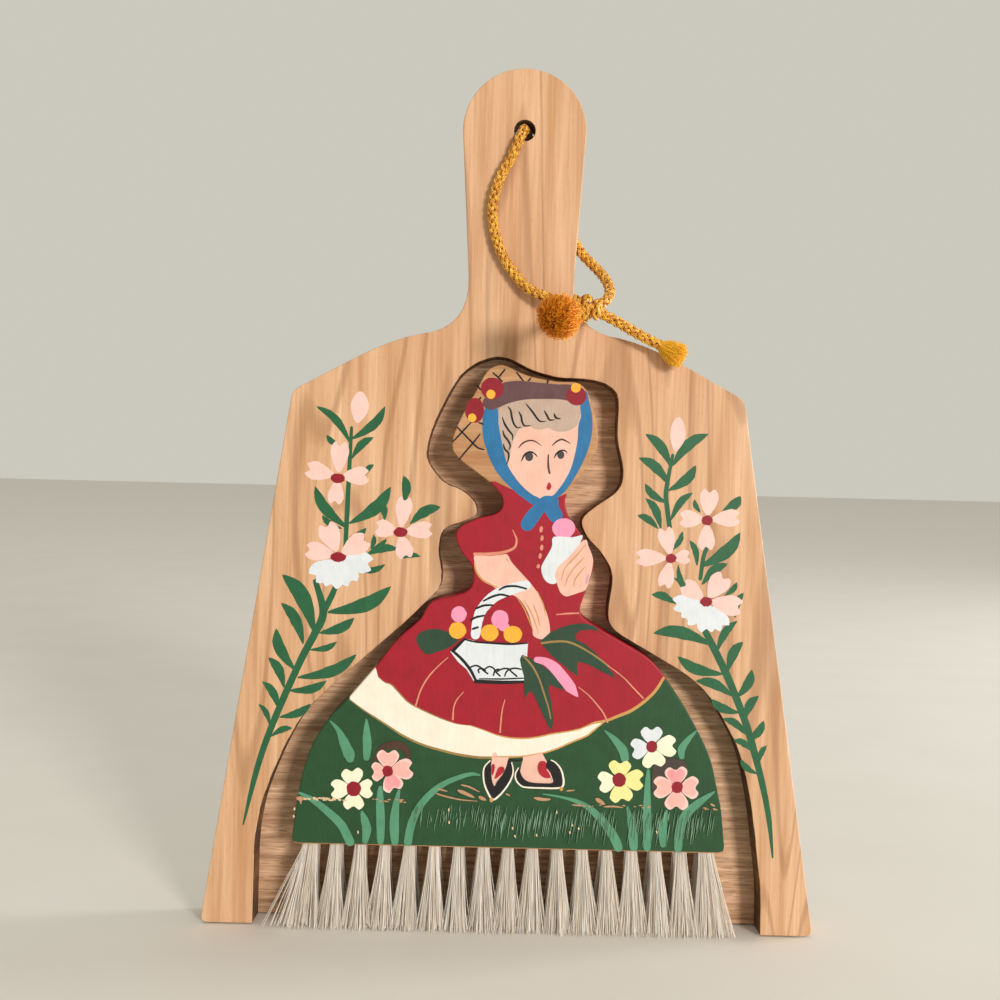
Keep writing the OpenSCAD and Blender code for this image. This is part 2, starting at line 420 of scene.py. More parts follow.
@dataclass(frozen=True)
class Plaster(Finish):
    """The studio floor: a matt pale sheet with a trace of mottling."""

    colour: str
    spot: str
    mottle_mm: float = 60.0
    roughness: float = 0.8

    def prepare(self, recipe: Recipe) -> None:
        """Mottles the sheet."""
        mottle = recipe.spread(recipe.noise((self.mottle_mm,) * 3, 3.0), (0.3, 0.7), (0, 0.06))
        tone = recipe.mix("MULTIPLY", mottle, linear(self.colour), linear(self.spot))
        recipe.shade({"Base Color": tone, "Roughness": self.roughness})


class Paint(Enum):
    """The colours on the painter's tray, each with the streak that the brush leaves in it."""

    GRASS = ("#24502d", "#183b22")
    BLADE = ("#5b9a79", "#41805f")
    CRIMSON = ("#a81529", "#880e1e")
    CREAM = ("#f6f0e0", "#e5dbc3")
    SKIN = ("#f0c4b1", "#e5b19a")
    BLUE = ("#2a77aa", "#20608d")
    MAUVE = ("#68484a", "#523739")
    HAIR = ("#c5ad9b", "#b09783")
    BLACK = ("#131213", "#201d1e")
    GREY = ("#444342", "#302f2e")
    GOLD = ("#d0a05c", "#b07f3e")
    ROSE = ("#961628", "#760e1c")
    YELLOW = ("#f4b93c", "#e09f22")
    CANDY = ("#f3a0bf", "#ea8cb0")
    WHITE = ("#e4eaed", "#c9d4da")
    LEMON = ("#f0eda2", "#e6df82")
    PINK = ("#f0a6a8", "#e79498")
    BLUSH = ("#f6d0c6", "#edc0b4")
    DEEP_LEAF = ("#2c4a36", "#203628")
    LEAF = ("#266540", "#1b4f30")
    LIPS = ("#b5202f", "#8f1723")
    BARE = ("#c59a74", "#a57a56")
    SCRATCH = ("#86ad8f", "#668e70")
    OCHRE = ("#a3854a", "#80653a")
    FOLD = ("#e0947a", "#cc7c60")
    UMBER = ("#4c332d", "#38241f")
    LILAC = ("#d9aab8", "#c795a6")
    BARK = ("#54382b", "#442c21")
    STONE = ("#4b4039", "#3d342e")
    IVORY = ("#f8f4d8", "#ece6c2")
    CORAL = ("#f3bcb0", "#eaab9e")
    CHIP = ("#e6cda4", "#cfb083")


class Finishes:
    """Every material of the set, made once and shared."""

    def __init__(self) -> None:
        """Makes the woods, the fibres and the wire."""
        # Warm honey-coloured board with upright grain that wanders a little.
        self.board = Wood(
            "lacquered_maple", "#e9c29b", "#cb9c6e", "#98683f", Grain.UPRIGHT, band_mm=5.0, band_long=16.0,
            line_strength=0.42, pore_mm=0.26, pore_amount=0.34, pore_depth=0.22,
        ).build()
        # Darker floor and back, coarse brown grain running across.
        self.ply = Wood(
            "birch_plywood", "#f0caa4", "#bf946e", "#7c573b", Grain.ACROSS, band_mm=1.3, band_long=30.0,
            line_strength=0.3, pore_mm=0.3, pore_long=14.0, pore_amount=0.4, pore_depth=0.5, roughness=0.55,
            coat=0.05, relief_mm=0.08,
        ).build()
        # Golden figure board, bare on its back, its upper edge and the hat.
        self.figure = Wood(
            "figure_plywood", "#cfa173", "#b78553", "#8c6036", Grain.ACROSS, band_mm=4.0, line_strength=0.2,
            pore_mm=0.3, pore_amount=0.34, pore_depth=0.4, roughness=0.45,
        ).build()
        # Pale peg with end grain to the front.
        self.beech = Wood(
            "beech_dowel", "#d8b48c", "#c09468", "#8f6741", Grain.THROUGH, band_mm=2.0, band_long=8.0
        ).build()
        # Slightly polished outer edge that catches the side light.
        self.end_grain = Wood(
            "sanded_edge", "#d8ac7c", "#b78758", "#7c5230", Grain.UPRIGHT, band_mm=2.2, band_long=12.0,
            line_strength=0.3, pore_mm=0.3, pore_long=5.0, pore_amount=0.4, pore_depth=0.5, roughness=0.4, coat=0.5,
        ).build()
        # Rough wall of the recess and of the hanging hole, dark partly as painted shade of the recess.
        self.sawn = SawnWallWithShade("jigsawn_wall_painted_shade", "#8a6240", "#3f2918").build()
        # Cream bristle with a soft shine, no two quite alike.
        self.bristle = Fibre("natural_bristle", "#ead9c2", "#fffaf0", roughness=0.36).build()
        # Bright gold yarn over a dark core, painted as the shade in the gaps between the yarns, which makes the
        # stitches stand out.
        self.yarn = Yarn("rayon_yarn", "#96500a", "#dd9014", "#ffd04a").build()
        self.core = Yarn("shaded_rayon_core", "#3c1e04", "#5a2f07", "#6e3c0a").build()
        # Yellow floss on the right, deeper orange floss in front.
        self.bright_floss = Fibre("teased_rayon", "#f5a008", "#ffcc2e", roughness=0.42).build()
        self.floss = Fibre("deep_orange_rayon", "#d86c00", "#ffa812", roughness=0.6).build()
        # Small bright staples, seen only when the brush is turned over.
        self.wire = Steel("flattened_wire", "#85868a", "#c9cacd").build()
        self.paints: Dict[Paint, bpy.types.Material] = {}

    def paint(self, colour: Paint) -> bpy.types.Material:
        """Returns the enamel of one colour, made when it is first asked for.

        Args:
            colour: the colour.

        Returns:
            Its material.
        """
        if colour not in self.paints:
            main, streak = colour.value
            self.paints[colour] = Enamel("enamel_" + colour.name.lower(), main, streak).build()
        return self.paints[colour]


# ---------------------------------------------------------------- flat shapes, in millimetres


def between(a: Vector, b: Vector, c: Vector, d: Vector, t: float) -> Vector:
    """Returns the point a share t of the way from b to c on a smooth curve through all four."""
    return 0.5 * (2 * b + (c - a) * t + (2 * a - 5 * b + 4 * c - d) * t * t + (3 * b - a - 3 * c + d) * t**3)


def smooth(points: Sequence[Sequence[float]], steps: int, closed: bool = False) -> List[Vector]:
    """Draws a smooth curve through points.

    Args:
        points: the points, flat or in space.
        steps: pieces between two points.
        closed: whether the curve comes back to its start.

    Returns:
        The curve's points.
    """
    p = [Vector(q) for q in points]
    n = len(p)
    if closed:
        return [
            between(p[i - 1], p[i], p[(i + 1) % n], p[(i + 2) % n], s / steps) for i in range(n) for s in range(steps)
        ]
    line = [
        between(p[max(i - 1, 0)], p[i], p[i + 1], p[min(i + 2, n - 1)], s / steps)
        for i in range(n - 1)
        for s in range(steps)
    ]
    return line + [p[-1]]


def blob(points: Sequence[Flat], steps: int = 5) -> Shape:
    """Returns a smooth closed outline through a few points."""
    return [(v.x, v.y) for v in smooth(points, steps, closed=True)]


def ribbon(points: Sequence[Flat], widths: Sequence[float], steps: int = 6) -> Shape:
    """Returns the outline of a brush stroke.

    Args:
        points: the stroke's middle line.
        widths: its width at even distances along it, from start to end.
        steps: pieces between two points.

    Returns:
        The stroke's outline.
    """
    line = smooth(points, steps)
    last = len(line) - 1
    stations = []
    for i, point in enumerate(line):
        way = (line[min(i + 1, last)] - line[max(i - 1, 0)]).normalized()
        share = i / last * (len(widths) - 1)
        low = min(int(share), len(widths) - 2)
        width = widths[low] + (widths[low + 1] - widths[low]) * (share - low)
        stations.append((point, way, max(width, 0.06)))
    caps = []
    for (point, way, width), turn in ((stations[0], -1), (stations[-1], 1)):
        angles = [math.radians(a) for a in (55, 20)]
        caps.append([(point + way * (turn * width / 2 * math.cos(a)), way, width * math.sin(a)) for a in angles])
    left, right = [], []
    for point, way, width in caps[0][::-1] + stations + caps[1]:
        side = Vector((-way.y, way.x)) * width / 2
        left.append(tuple(point + side))
        right.append(tuple(point - side))
    return left + right[::-1]


def oval(middle: Flat, wide: float, tall: float, turn: float = 0.0, sides: int = 22) -> Shape:
    """Returns an ellipse.

    Args:
        middle: its middle.
        wide: its width.
        tall: its height.
        turn: its turn in degrees.
        sides: how many points it has.

    Returns:
        Its outline.
    """
    c, s = math.cos(math.radians(turn)), math.sin(math.radians(turn))
    out = []
    for k in range(sides):
        a = 2 * math.pi * k / sides
        x, y = wide / 2 * math.cos(a), tall / 2 * math.sin(a)
        out.append((middle[0] + x * c - y * s, middle[1] + x * s + y * c))
    return out


def leaf(base: Flat, tip: Flat, width: float, bend: float = 0.12) -> Shape:
    """Returns a brushed leaf: narrow at its base, full past its middle, pointed at its tip.

    Args:
        base: where it leaves the stem.
        tip: its point.
        width: its greatest width.
        bend: how far it bows sideways, as a share of its length.

    Returns:
        Its outline.
    """
    a, b = Vector(base), Vector(tip)
    way = b - a
    side = Vector((-way.y, way.x)) * bend
    middle = [a, a + way * 0.33 + side * 0.8, a + way * 0.67 + side, b]
    return ribbon([tuple(p) for p in middle], [width * 0.14, width * 0.62, width, width * 0.86, width * 0.05], 5)


def petal(heart: Flat, tip: Flat, width: float, notch: float = 0.16) -> Shape:
    """Returns a petal that widens from the flower's heart to a notched end.

    Args:
        heart: the flower's middle.
        tip: the middle of the petal's end.
        width: its greatest width.
        notch: the notch's depth, as a share of the petal's length.

    Returns:
        Its outline.
    """
    a, b = Vector(heart), Vector(tip)
    way = b - a
    side = Vector((-way.y, way.x)).normalized() * width / 2
    points = [
        a + way * 0.16 + side * 0.2, a + way * 0.45 + side * 0.76, a + way * 0.78 + side,
        a + way * 1.02 + side * 0.55, a + way * (1 - notch), a + way * 1.02 - side * 0.55, a + way * 0.78 - side,
        a + way * 0.45 - side * 0.76, a + way * 0.16 - side * 0.2,
    ]
    return blob([tuple(p) for p in points], 4)


class Painter:
    """Lays thin enamel shapes on the front of a board, in the order that they were painted."""

    FIRST_MM = 0.015
    COAT_MM = 0.006
    STEP_MM = 0.0008
    SUNK_MM = 0.02

    def __init__(self, body: str, front_mm: float, slot: str, finishes: Finishes, seed: int) -> None:
        """Starts with a bare board.

        Args:
            body: the moving body that the board belongs to.
            front_mm: the Y of the board's face.
            slot: the record's material slot; kept, but not used.
            finishes: the shared materials.
            seed: what the hand's small unevenness starts from.
        """
        self.body = body
        self.front = front_mm
        self.slot = slot
        self.finishes = finishes
        self.height = self.FIRST_MM
        self.hand = random.Random(seed)
        self.shapes: Dict[Paint, List[Tuple[Shape, float, bool]]] = {}

    def next_coat(self) -> None:
        """Lets the paint dry, so that what follows lies on top."""
        self.height += self.COAT_MM

    def fill(
        self, paint: Paint, outline: Sequence[Sequence[float]], wobble: float = 0.0, strip: bool = False
    ) -> None:
        """Paints one closed shape, a hair above the one before it.

        Args:
            paint: its colour.
            outline: its outline.
            wobble: how unsteady its edge is, in millimetres.
            strip: whether it is a stroke, whose two sides mirror each other along the outline.
        """
        shape = [
            (p[0] + self.hand.uniform(-wobble, wobble), p[1] + self.hand.uniform(-wobble, wobble)) for p in outline
        ]
        self.height += self.STEP_MM
        self.shapes.setdefault(paint, []).append((shape, self.height, strip))

    def line(self, paint: Paint, points: Sequence[Flat], width: float, steps: int = 6) -> None:
        """Paints a line that starts and ends fine."""
        self.fill(paint, ribbon(points, [width * 0.45, width, width, width * 0.8, width * 0.3], steps), 0.02, True)

    def stroke(self, paint: Paint, points: Sequence[Flat], widths: Sequence[float]) -> None:
        """Paints a stroke with the widths given along it."""
        self.fill(paint, ribbon(points, widths), 0.02, True)

    def finish(self) -> List[bpy.types.Object]:
        """Makes one piece of each colour.

        Returns:
            The painted pieces.
        """
        made = []
        for paint, shapes in self.shapes.items():
            bm = bmesh.new()
            for outline, height, strip in shapes:
                self._add(bm, outline, height, strip)
            bmesh.ops.recalc_face_normals(bm, faces=bm.faces)
            piece = to_object(bm, f"paint_{self.body}_{paint.name.lower()}", [self.finishes.paint(paint)])
            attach(piece, self.body)
            made.append(piece)
        return made

    def _add(self, bm: bmesh.types.BMesh, outline: Shape, height: float, strip: bool) -> None:
        """Adds one shape as a thin closed plate, its top at a height above the board."""
        top = (self.front - height) * MM
        foot = (self.front + self.SUNK_MM) * MM
        n = len(outline)
        upper = [bm.verts.new((x * MM, top, z * MM)) for x, z in outline]
        lower = [bm.verts.new((x * MM, foot, z * MM)) for x, z in outline]
        if strip:
            for ring, turn in ((upper, 1), (lower, -1)):
                for i in range(n // 2 - 1):
                    bm.faces.new([ring[i], ring[i + 1], ring[n - 2 - i], ring[n - 1 - i]][::turn])
        else:
            faces = [bm.faces.new(upper), bm.faces.new(lower[::-1])]
            for face in faces:
                face.normal_update()
            bmesh.ops.triangulate(bm, faces=faces, ngon_method="EAR_CLIP")
        for i in range(n):
            j = (i + 1) % n
            bm.faces.new([upper[i], lower[i], lower[j], upper[j]])


# ---------------------------------------------------------------- meshes


def to_object(bm: bmesh.types.BMesh, name: str, materials: Sequence[bpy.types.Material]) -> bpy.types.Object:
    """Turns a bmesh into an object in the scene.

    Args:
        bm: the mesh, freed here.
        name: the object's name.
        materials: its material slots.

    Returns:
        The object.
    """
    mesh = bpy.data.meshes.new(name)
    bm.to_mesh(mesh)
    bm.free()
    for material in materials:
        mesh.materials.append(material)
    obj = bpy.data.objects.new(name, mesh)
    bpy.context.scene.collection.objects.link(obj)
    return obj


def merged_copy(node: str) -> bmesh.types.BMesh:
    """Copies a CAD node's mesh, joins its loose triangles and melts its flat faces together.

    Args:
        node: the node's name.

    Returns:
        The joined mesh.
    """
    bm = bmesh.new()
    bm.from_mesh(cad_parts[node].data)
    bmesh.ops.remove_doubles(bm, verts=bm.verts, dist=0.002 * MM)
    bmesh.ops.dissolve_limit(bm, angle_limit=math.radians(1.5), verts=bm.verts, edges=bm.edges, delimit={"NORMAL"})
    return bm


def apply_modifiers(obj: bpy.types.Object) -> None:
    """Bakes an object's modifiers into its mesh.

    Args:
        obj: the object.
    """
    graph = bpy.context.evaluated_depsgraph_get()
    mesh = bpy.data.meshes.new_from_object(obj.evaluated_get(graph))
    obj.modifiers.clear()
    old = obj.data
    obj.data = mesh
    bpy.data.meshes.remove(old)


def ease_edges(obj: bpy.types.Object, width_mm: float, segments: int, limit_deg: float = 50.0) -> None:
    """Rounds an object's sharp edges and shades it smooth between them.

    Args:
        obj: the object.
        width_mm: how far the rounding reaches.
        segments: how many steps it has.
        limit_deg: the least angle of an edge that is rounded.
    """
    bevel = obj.modifiers.new("ease", "BEVEL")
    bevel.width = width_mm * MM
    bevel.segments = segments
    bevel.limit_method = "ANGLE"
    bevel.angle_limit = math.radians(limit_deg)
    bevel.use_clamp_overlap = True
    apply_modifiers(obj)
    obj.data.shade_smooth()
    obj.data.set_sharp_from_angle(angle=math.radians(38))
    even = obj.modifiers.new("even", "WEIGHTED_NORMAL")
    even.keep_sharp = True
    even.weight = 90
    apply_modifiers(obj)


def front_outline(node: str) -> List[Vector]:
    """Reads the outer outline of a board's front face from its CAD node.

    Args:
        node: the node's name.

    Returns:
        The outline in millimetres, clockwise as seen from the front, from its lowest left point.
    """
    bm = merged_copy(node)
    front = min(v.co.y for v in bm.verts)
    flat = [f for f in bm.faces if f.normal.y < -0.9 and abs(f.calc_center_median().y - front) < 0.01 * MM]
    edges: Dict[int, List[int]] = {}
    for face in flat:
        for edge in face.edges:
            if sum(g in flat for g in edge.link_faces) == 1:
                a, b = (v.index for v in edge.verts)
                edges.setdefault(a, []).append(b)
                edges.setdefault(b, []).append(a)
    bm.verts.ensure_lookup_table()
    start = min(edges, key=lambda i: bm.verts[i].co.x + bm.verts[i].co.z)
    loop, last = [start], None
    while True:
        step = [i for i in edges[loop[-1]] if i != last]
        last = loop[-1]
        if step[0] == start or len(loop) > len(edges):
            break
        loop.append(step[0])
    points = [Vector((bm.verts[i].co.x, bm.verts[i].co.z)) / MM for i in loop]
    bm.free()
    area = sum(p.x * q.y - q.x * p.y for p, q in zip(points, points[1:] + points[:1]))
    return points if area < 0 else [points[0]] + points[:0:-1]


def slab(node: str) -> bmesh.types.BMesh:
    """Rebuilds a board from its front outline, without the holes that the bristles fill.

    Args:
        node: the node's name.

    Returns:
        The board's mesh.
    """
    depths = [v.co.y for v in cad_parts[node].data.vertices]
    outline = front_outline(node)
    bm = bmesh.new()
    near, far = ([bm.verts.new((p.x * MM, y, p.y * MM)) for p in outline] for y in (min(depths), max(depths)))
    bm.faces.new(near)
    bm.faces.new(far[::-1])
    for i in range(len(outline)):
        bm.faces.new([near[i - 1], far[i - 1], far[i], near[i]])
    bmesh.ops.recalc_face_normals(bm, faces=bm.faces)
    return bm


def inset(points: Sequence[Vector], by: float) -> List[Vector]:
    """Moves a clockwise outline inwards.

    Args:
        points: the outline.
        by: how far, in millimetres.

    Returns:
        The smaller outline.
    """
    out = []
    n = len(points)
    for i, p in enumerate(points):
        before, after = (p - points[i - 1]).normalized(), (points[(i + 1) % n] - p).normalized()
        way = (before + after).normalized()
        out.append(p + Vector((way.y, -way.x)) * by)
    return out


def nearest(points: Sequence[Vector], spot: Flat) -> int:
    """Returns the number of the point nearest to a spot."""
    return min(range(len(points)), key=lambda i: (points[i] - Vector(spot)).length)


# ---------------------------------------------------------------- fibres


@dataclass(frozen=True)
class Tuft:
    """Where a bunch of fibres is rooted, which way it points, and the two half widths of its fan.

    All in millimetres, and `aim` is as long as the fibres.
    """

    root: Vector
    aim: Vector
    side: Vector
    up: Vector


@dataclass
class FibreTree:
    """A Geometry Nodes tree that grows a bunch of bent, tapered fibres on each point of a host mesh."""

    tree: bpy.types.NodeTree = field(init=False)
    ids: Dict[str, str] = field(default_factory=dict, init=False)

    # How the fan opens along a fibre, and how much thinner its tip is.
    OPENING = 1.15
    TAPER = 0.35
    INPUTS = (
        ("Fibres", "NodeSocketInt"), ("Root share", "NodeSocketFloat"), ("Bulge", "NodeSocketFloat"),
        ("Uneven length", "NodeSocketFloat"), ("Bend", "NodeSocketFloat"), ("Thickness", "NodeSocketFloat"),
        ("Points", "NodeSocketInt"), ("Seed", "NodeSocketInt"), ("Finish", "NodeSocketMaterial"),
    )

    def __post_init__(self) -> None:
        """Builds the tree."""
        self.tree = bpy.data.node_groups.new("fibre_tufts", "GeometryNodeTree")
        face = self.tree.interface
        face.new_socket("Tufts", in_out="INPUT", socket_type="NodeSocketGeometry")
        for name, kind in self.INPUTS:
            self.ids[name] = face.new_socket(name, in_out="INPUT", socket_type=kind).identifier
        face.new_socket("Fibres", in_out="OUTPUT", socket_type="NodeSocketGeometry")
        self._wire(add_node(self.tree, "NodeGroupInput"))

    def _random(self, given: bpy.types.Node, low: float, high: float, turn: int) -> Socket:
        """Adds a random number for each fibre, with its own place in the seed's order."""
        seed = self._math("ADD", given.outputs["Seed"], float(turn))
        node = add_node(
            self.tree, "FunctionNodeRandomValue", {"data_type": "FLOAT"}, {2: low, 3: high, "Seed": seed}
        )
        return node.outputs[1]

    def _math(self, kind: str, a: object, b: object = 0.0) -> Socket:
        """Adds a sum on two numbers."""
        return add_node(self.tree, "ShaderNodeMath", {"operation": kind}, {0: a, 1: b}).outputs[0]

    def _vector(self, kind: str, a: object, b: object) -> Socket:
        """Adds a sum on two vectors, or on a vector and the number that scales it."""
        key = "Scale" if kind == "SCALE" else 1
        return add_node(self.tree, "ShaderNodeVectorMath", {"operation": kind}, {0: a, key: b}).outputs[0]

    def _named(self, name: str, kind: str = "FLOAT_VECTOR") -> Socket:
        """Adds a node that reads an attribute."""
        node = add_node(self.tree, "GeometryNodeInputNamedAttribute", {"data_type": kind}, {"Name": name})
        return node.outputs["Attribute"]

    def _store(self, flow: object, name: str, value: object, kind: str = "FLOAT_VECTOR") -> Socket:
        """Adds a node that keeps a value on each point."""
        settings = {"data_type": kind, "domain": "POINT"}
        inputs = {"Geometry": flow, "Name": name, "Value": value}
        return add_node(self.tree, "GeometryNodeStoreNamedAttribute", settings, inputs).outputs[0]

    def _wire(self, given: bpy.types.Node) -> None:
        """Wires the tree from its inputs to its output."""
        tree = self.tree
        points = add_node(tree, "GeometryNodeMeshToPoints", inputs={"Mesh": given.outputs["Tufts"]})
        many = add_node(
            tree, "GeometryNodeDuplicateElements", {"domain": "POINT"},
            {"Geometry": points.outputs[0], "Amount": given.outputs["Fibres"]},
        )
        place = add_node(tree, "GeometryNodeInputPosition").outputs[0]
        angle = self._random(given, 0.0, 2 * math.pi, 1)
        out = self._math("SQRT", self._random(given, 0.0, 1.0, 2))
        along_side = self._math("MULTIPLY", self._math("COSINE", angle), out)
        along_up = self._math("MULTIPLY", self._math("SINE", angle), out)
        spoke = self._vector(
            "ADD", self._vector("SCALE", self._named("side"), along_side),
            self._vector("SCALE", self._named("up"), along_up),
        )
        reach = self._math(
            "ADD", self._math("MULTIPLY", self._random(given, -1.0, 1.0, 3), given.outputs["Uneven length"]), 1.0
        )
        sway = add_node(
            tree, "FunctionNodeRandomValue", {"data_type": "FLOAT_VECTOR"},
            {0: (-1, -1, -1), 1: (1, 1, 1), "Seed": self._math("ADD", given.outputs["Seed"], 4.0)},
        ).outputs[0]
        flow = self._store(many.outputs[0], "start", place)
        flow = self._store(flow, "spoke", spoke)
        flow = self._store(flow, "reach", reach, "FLOAT")
        flow = self._store(flow, "sway", sway)
        flow = self._store(flow, "tint", self._random(given, 0.0, 1.0, 5), "FLOAT")
        line = add_node(tree, "GeometryNodeCurvePrimitiveLine", inputs={"End": (0, 0, 1)})
        rod = add_node(
            tree, "GeometryNodeResampleCurve", inputs={"Curve": line.outputs[0], "Count": given.outputs["Points"]}
        )
        fibres = add_node(tree, "GeometryNodeInstanceOnPoints", inputs={"Points": flow, "Instance": rod.outputs[0]})
        real = add_node(tree, "GeometryNodeRealizeInstances", inputs={0: fibres.outputs[0]})
        t = add_node(tree, "GeometryNodeSplineParameter").outputs["Factor"]
        open_ = self._math("POWER", t, self.OPENING)
        swell = self._math(
            "MULTIPLY", self._math("SINE", self._math("MULTIPLY", t, math.pi)), given.outputs["Bulge"]
        )
        root = given.outputs["Root share"]
        width = self._math(
            "ADD", self._math("ADD", root, self._math("MULTIPLY", open_, self._math("SUBTRACT", 1.0, root))), swell
        )
        bend = self._math("MULTIPLY", self._math("MULTIPLY", t, t), given.outputs["Bend"])
        spot = self._vector("ADD", self._named("start"), self._vector("SCALE", self._named("spoke"), width))
        length = self._math("MULTIPLY", self._named("reach", "FLOAT"), t)
        spot = self._vector("ADD", spot, self._vector("SCALE", self._named("aim"), length))
        spot = self._vector("ADD", spot, self._vector("SCALE", self._named("sway"), bend))
        moved = add_node(tree, "GeometryNodeSetPosition", inputs={"Geometry": real.outputs[0], "Position": spot})
        taper = self._math("SUBTRACT", 1.0, self._math("MULTIPLY", t, self.TAPER))
        thin = add_node(tree, "GeometryNodeSetCurveRadius", inputs={0: moved.outputs[0], "Radius": taper})
        ring = add_node(
            tree, "GeometryNodeCurvePrimitiveCircle", inputs={"Resolution": 4, "Radius": given.outputs["Thickness"]}
        )
        skin = add_node(
            tree, "GeometryNodeCurveToMesh",
            inputs={"Curve": thin.outputs[0], "Profile Curve": ring.outputs[0], "Fill Caps": True},
        )
        whole = add_node(tree, "GeometryNodeRealizeInstances", inputs={0: skin.outputs[0]})
        done = add_node(
            tree, "GeometryNodeSetMaterial", inputs={0: whole.outputs[0], "Material": given.outputs["Finish"]}
        )
        add_node(tree, "NodeGroupOutput", inputs={0: done.outputs[0]})

    def grow(
        self, name: str, tufts: Sequence[Tuft], finish: bpy.types.Material, fibres: int, thickness_mm: float,
        root_share: float = 0.5, bulge: float = 0.0, uneven: float = 0.03, bend_mm: float = 0.5, points: int = 6,
        seed: int = 1,
    ) -> bpy.types.Object:
        """Grows fibres on tufts and turns them into one plain mesh.

        Args:
            name: the piece's name.
            tufts: the bunches.
            finish: the fibres' material.
            fibres: how many each bunch has.
            thickness_mm: a fibre's radius at its root.
            root_share: the bunch's width at its root, as a share of its fan.
            bulge: how much wider it is half way, as a share of its fan.
            uneven: how much the fibres' lengths differ.
            bend_mm: how far a tip may stray.
            points: points along a fibre.
            seed: what the random numbers start from.

        Returns:
            The piece.
        """
        mesh = bpy.data.meshes.new(name)
        mesh.from_pydata([tuple(t.root * MM) for t in tufts], [], [])
        for key in ("aim", "side", "up"):
            kept = mesh.attributes.new(key, "FLOAT_VECTOR", "POINT")
            for item, tuft in zip(kept.data, tufts):
                item.vector = getattr(tuft, key) * MM
        obj = bpy.data.objects.new(name, mesh)
        bpy.context.scene.collection.objects.link(obj)
        modifier = obj.modifiers.new("fibres", "NODES")
        modifier.node_group = self.tree
        given = (fibres, root_share, bulge, uneven, bend_mm * MM, thickness_mm * MM, points, seed * 10, finish)
        for (key, _), value in zip(self.INPUTS, given):
            modifier[self.ids[key]] = value
        apply_modifiers(obj)
        for key in ("aim", "side", "up", "start", "spoke", "reach", "sway", "id"):
            if key in obj.data.attributes:
                obj.data.attributes.remove(obj.data.attributes[key])
        return obj


def joined(name: str, parts: Sequence[bpy.types.Object], materials: Sequence[bpy.types.Material]) -> bpy.types.Object:
    """Joins pieces into one object.

    Args:
        name: the new object's name.
        parts: the pieces, removed here.
        materials: the new object's materials, in order; each face keeps its own.

    Returns:
        The joined object.
    """
    bm = bmesh.new()
    for part in parts:
        remap = [list(materials).index(m) for m in part.data.materials]
        before = len(bm.faces)
        bm.from_mesh(part.data)
        bm.faces.ensure_lookup_table()
        for face in bm.faces[before:]:
            face.material_index = remap[face.material_index]
        bpy.data.objects.remove(part, do_unlink=True)
    return to_object(bm, name, materials)


# ---------------------------------------------------------------- the hanging cord


@dataclass
class Path:
    """A smooth centreline with even steps and a sideways direction carried along it without twisting."""

    points: Sequence[Sequence[float]]
    step_mm: float = 0.25
    centres: List[Vector] = field(init=False)
    ways: List[Vector] = field(init=False)
    sides: List[Vector] = field(init=False)

    def __post_init__(self) -> None:
        """Measures the curve and places its stations."""
        fine = smooth(self.points, 16)
        lengths = [0.0]
        for a, b in zip(fine, fine[1:]):
            lengths.append(lengths[-1] + (b - a).length)
        count = max(8, round(lengths[-1] / self.step_mm))
        self.length = lengths[-1]
        self.centres, j = [], 0
        for i in range(count + 1):
            want = lengths[-1] * i / count
            while j < len(fine) - 2 and lengths[j + 1] < want:
                j += 1
            share = (want - lengths[j]) / max(lengths[j + 1] - lengths[j], 1e-9)
            self.centres.append(fine[j].lerp(fine[j + 1], min(share, 1.0)))
        last = len(self.centres) - 1
        self.ways = [
            (self.centres[min(i + 1, last)] - self.centres[max(i - 1, 0)]).normalized() for i in range(last + 1)
        ]
        side = Vector((1, 0, 0)) if abs(self.ways[0].x) < 0.9 else Vector((0, 0, 1))
        self.sides = []
        for way in self.ways:
            side = (side - side.dot(way) * way).normalized()
            self.sides.append(side)

    def around(self, i: int, angle: float) -> Vector:
        """Returns the outward direction at an angle round station i."""
        up = self.ways[i].cross(self.sides[i])
        return self.sides[i] * math.cos(angle) + up * math.sin(angle)


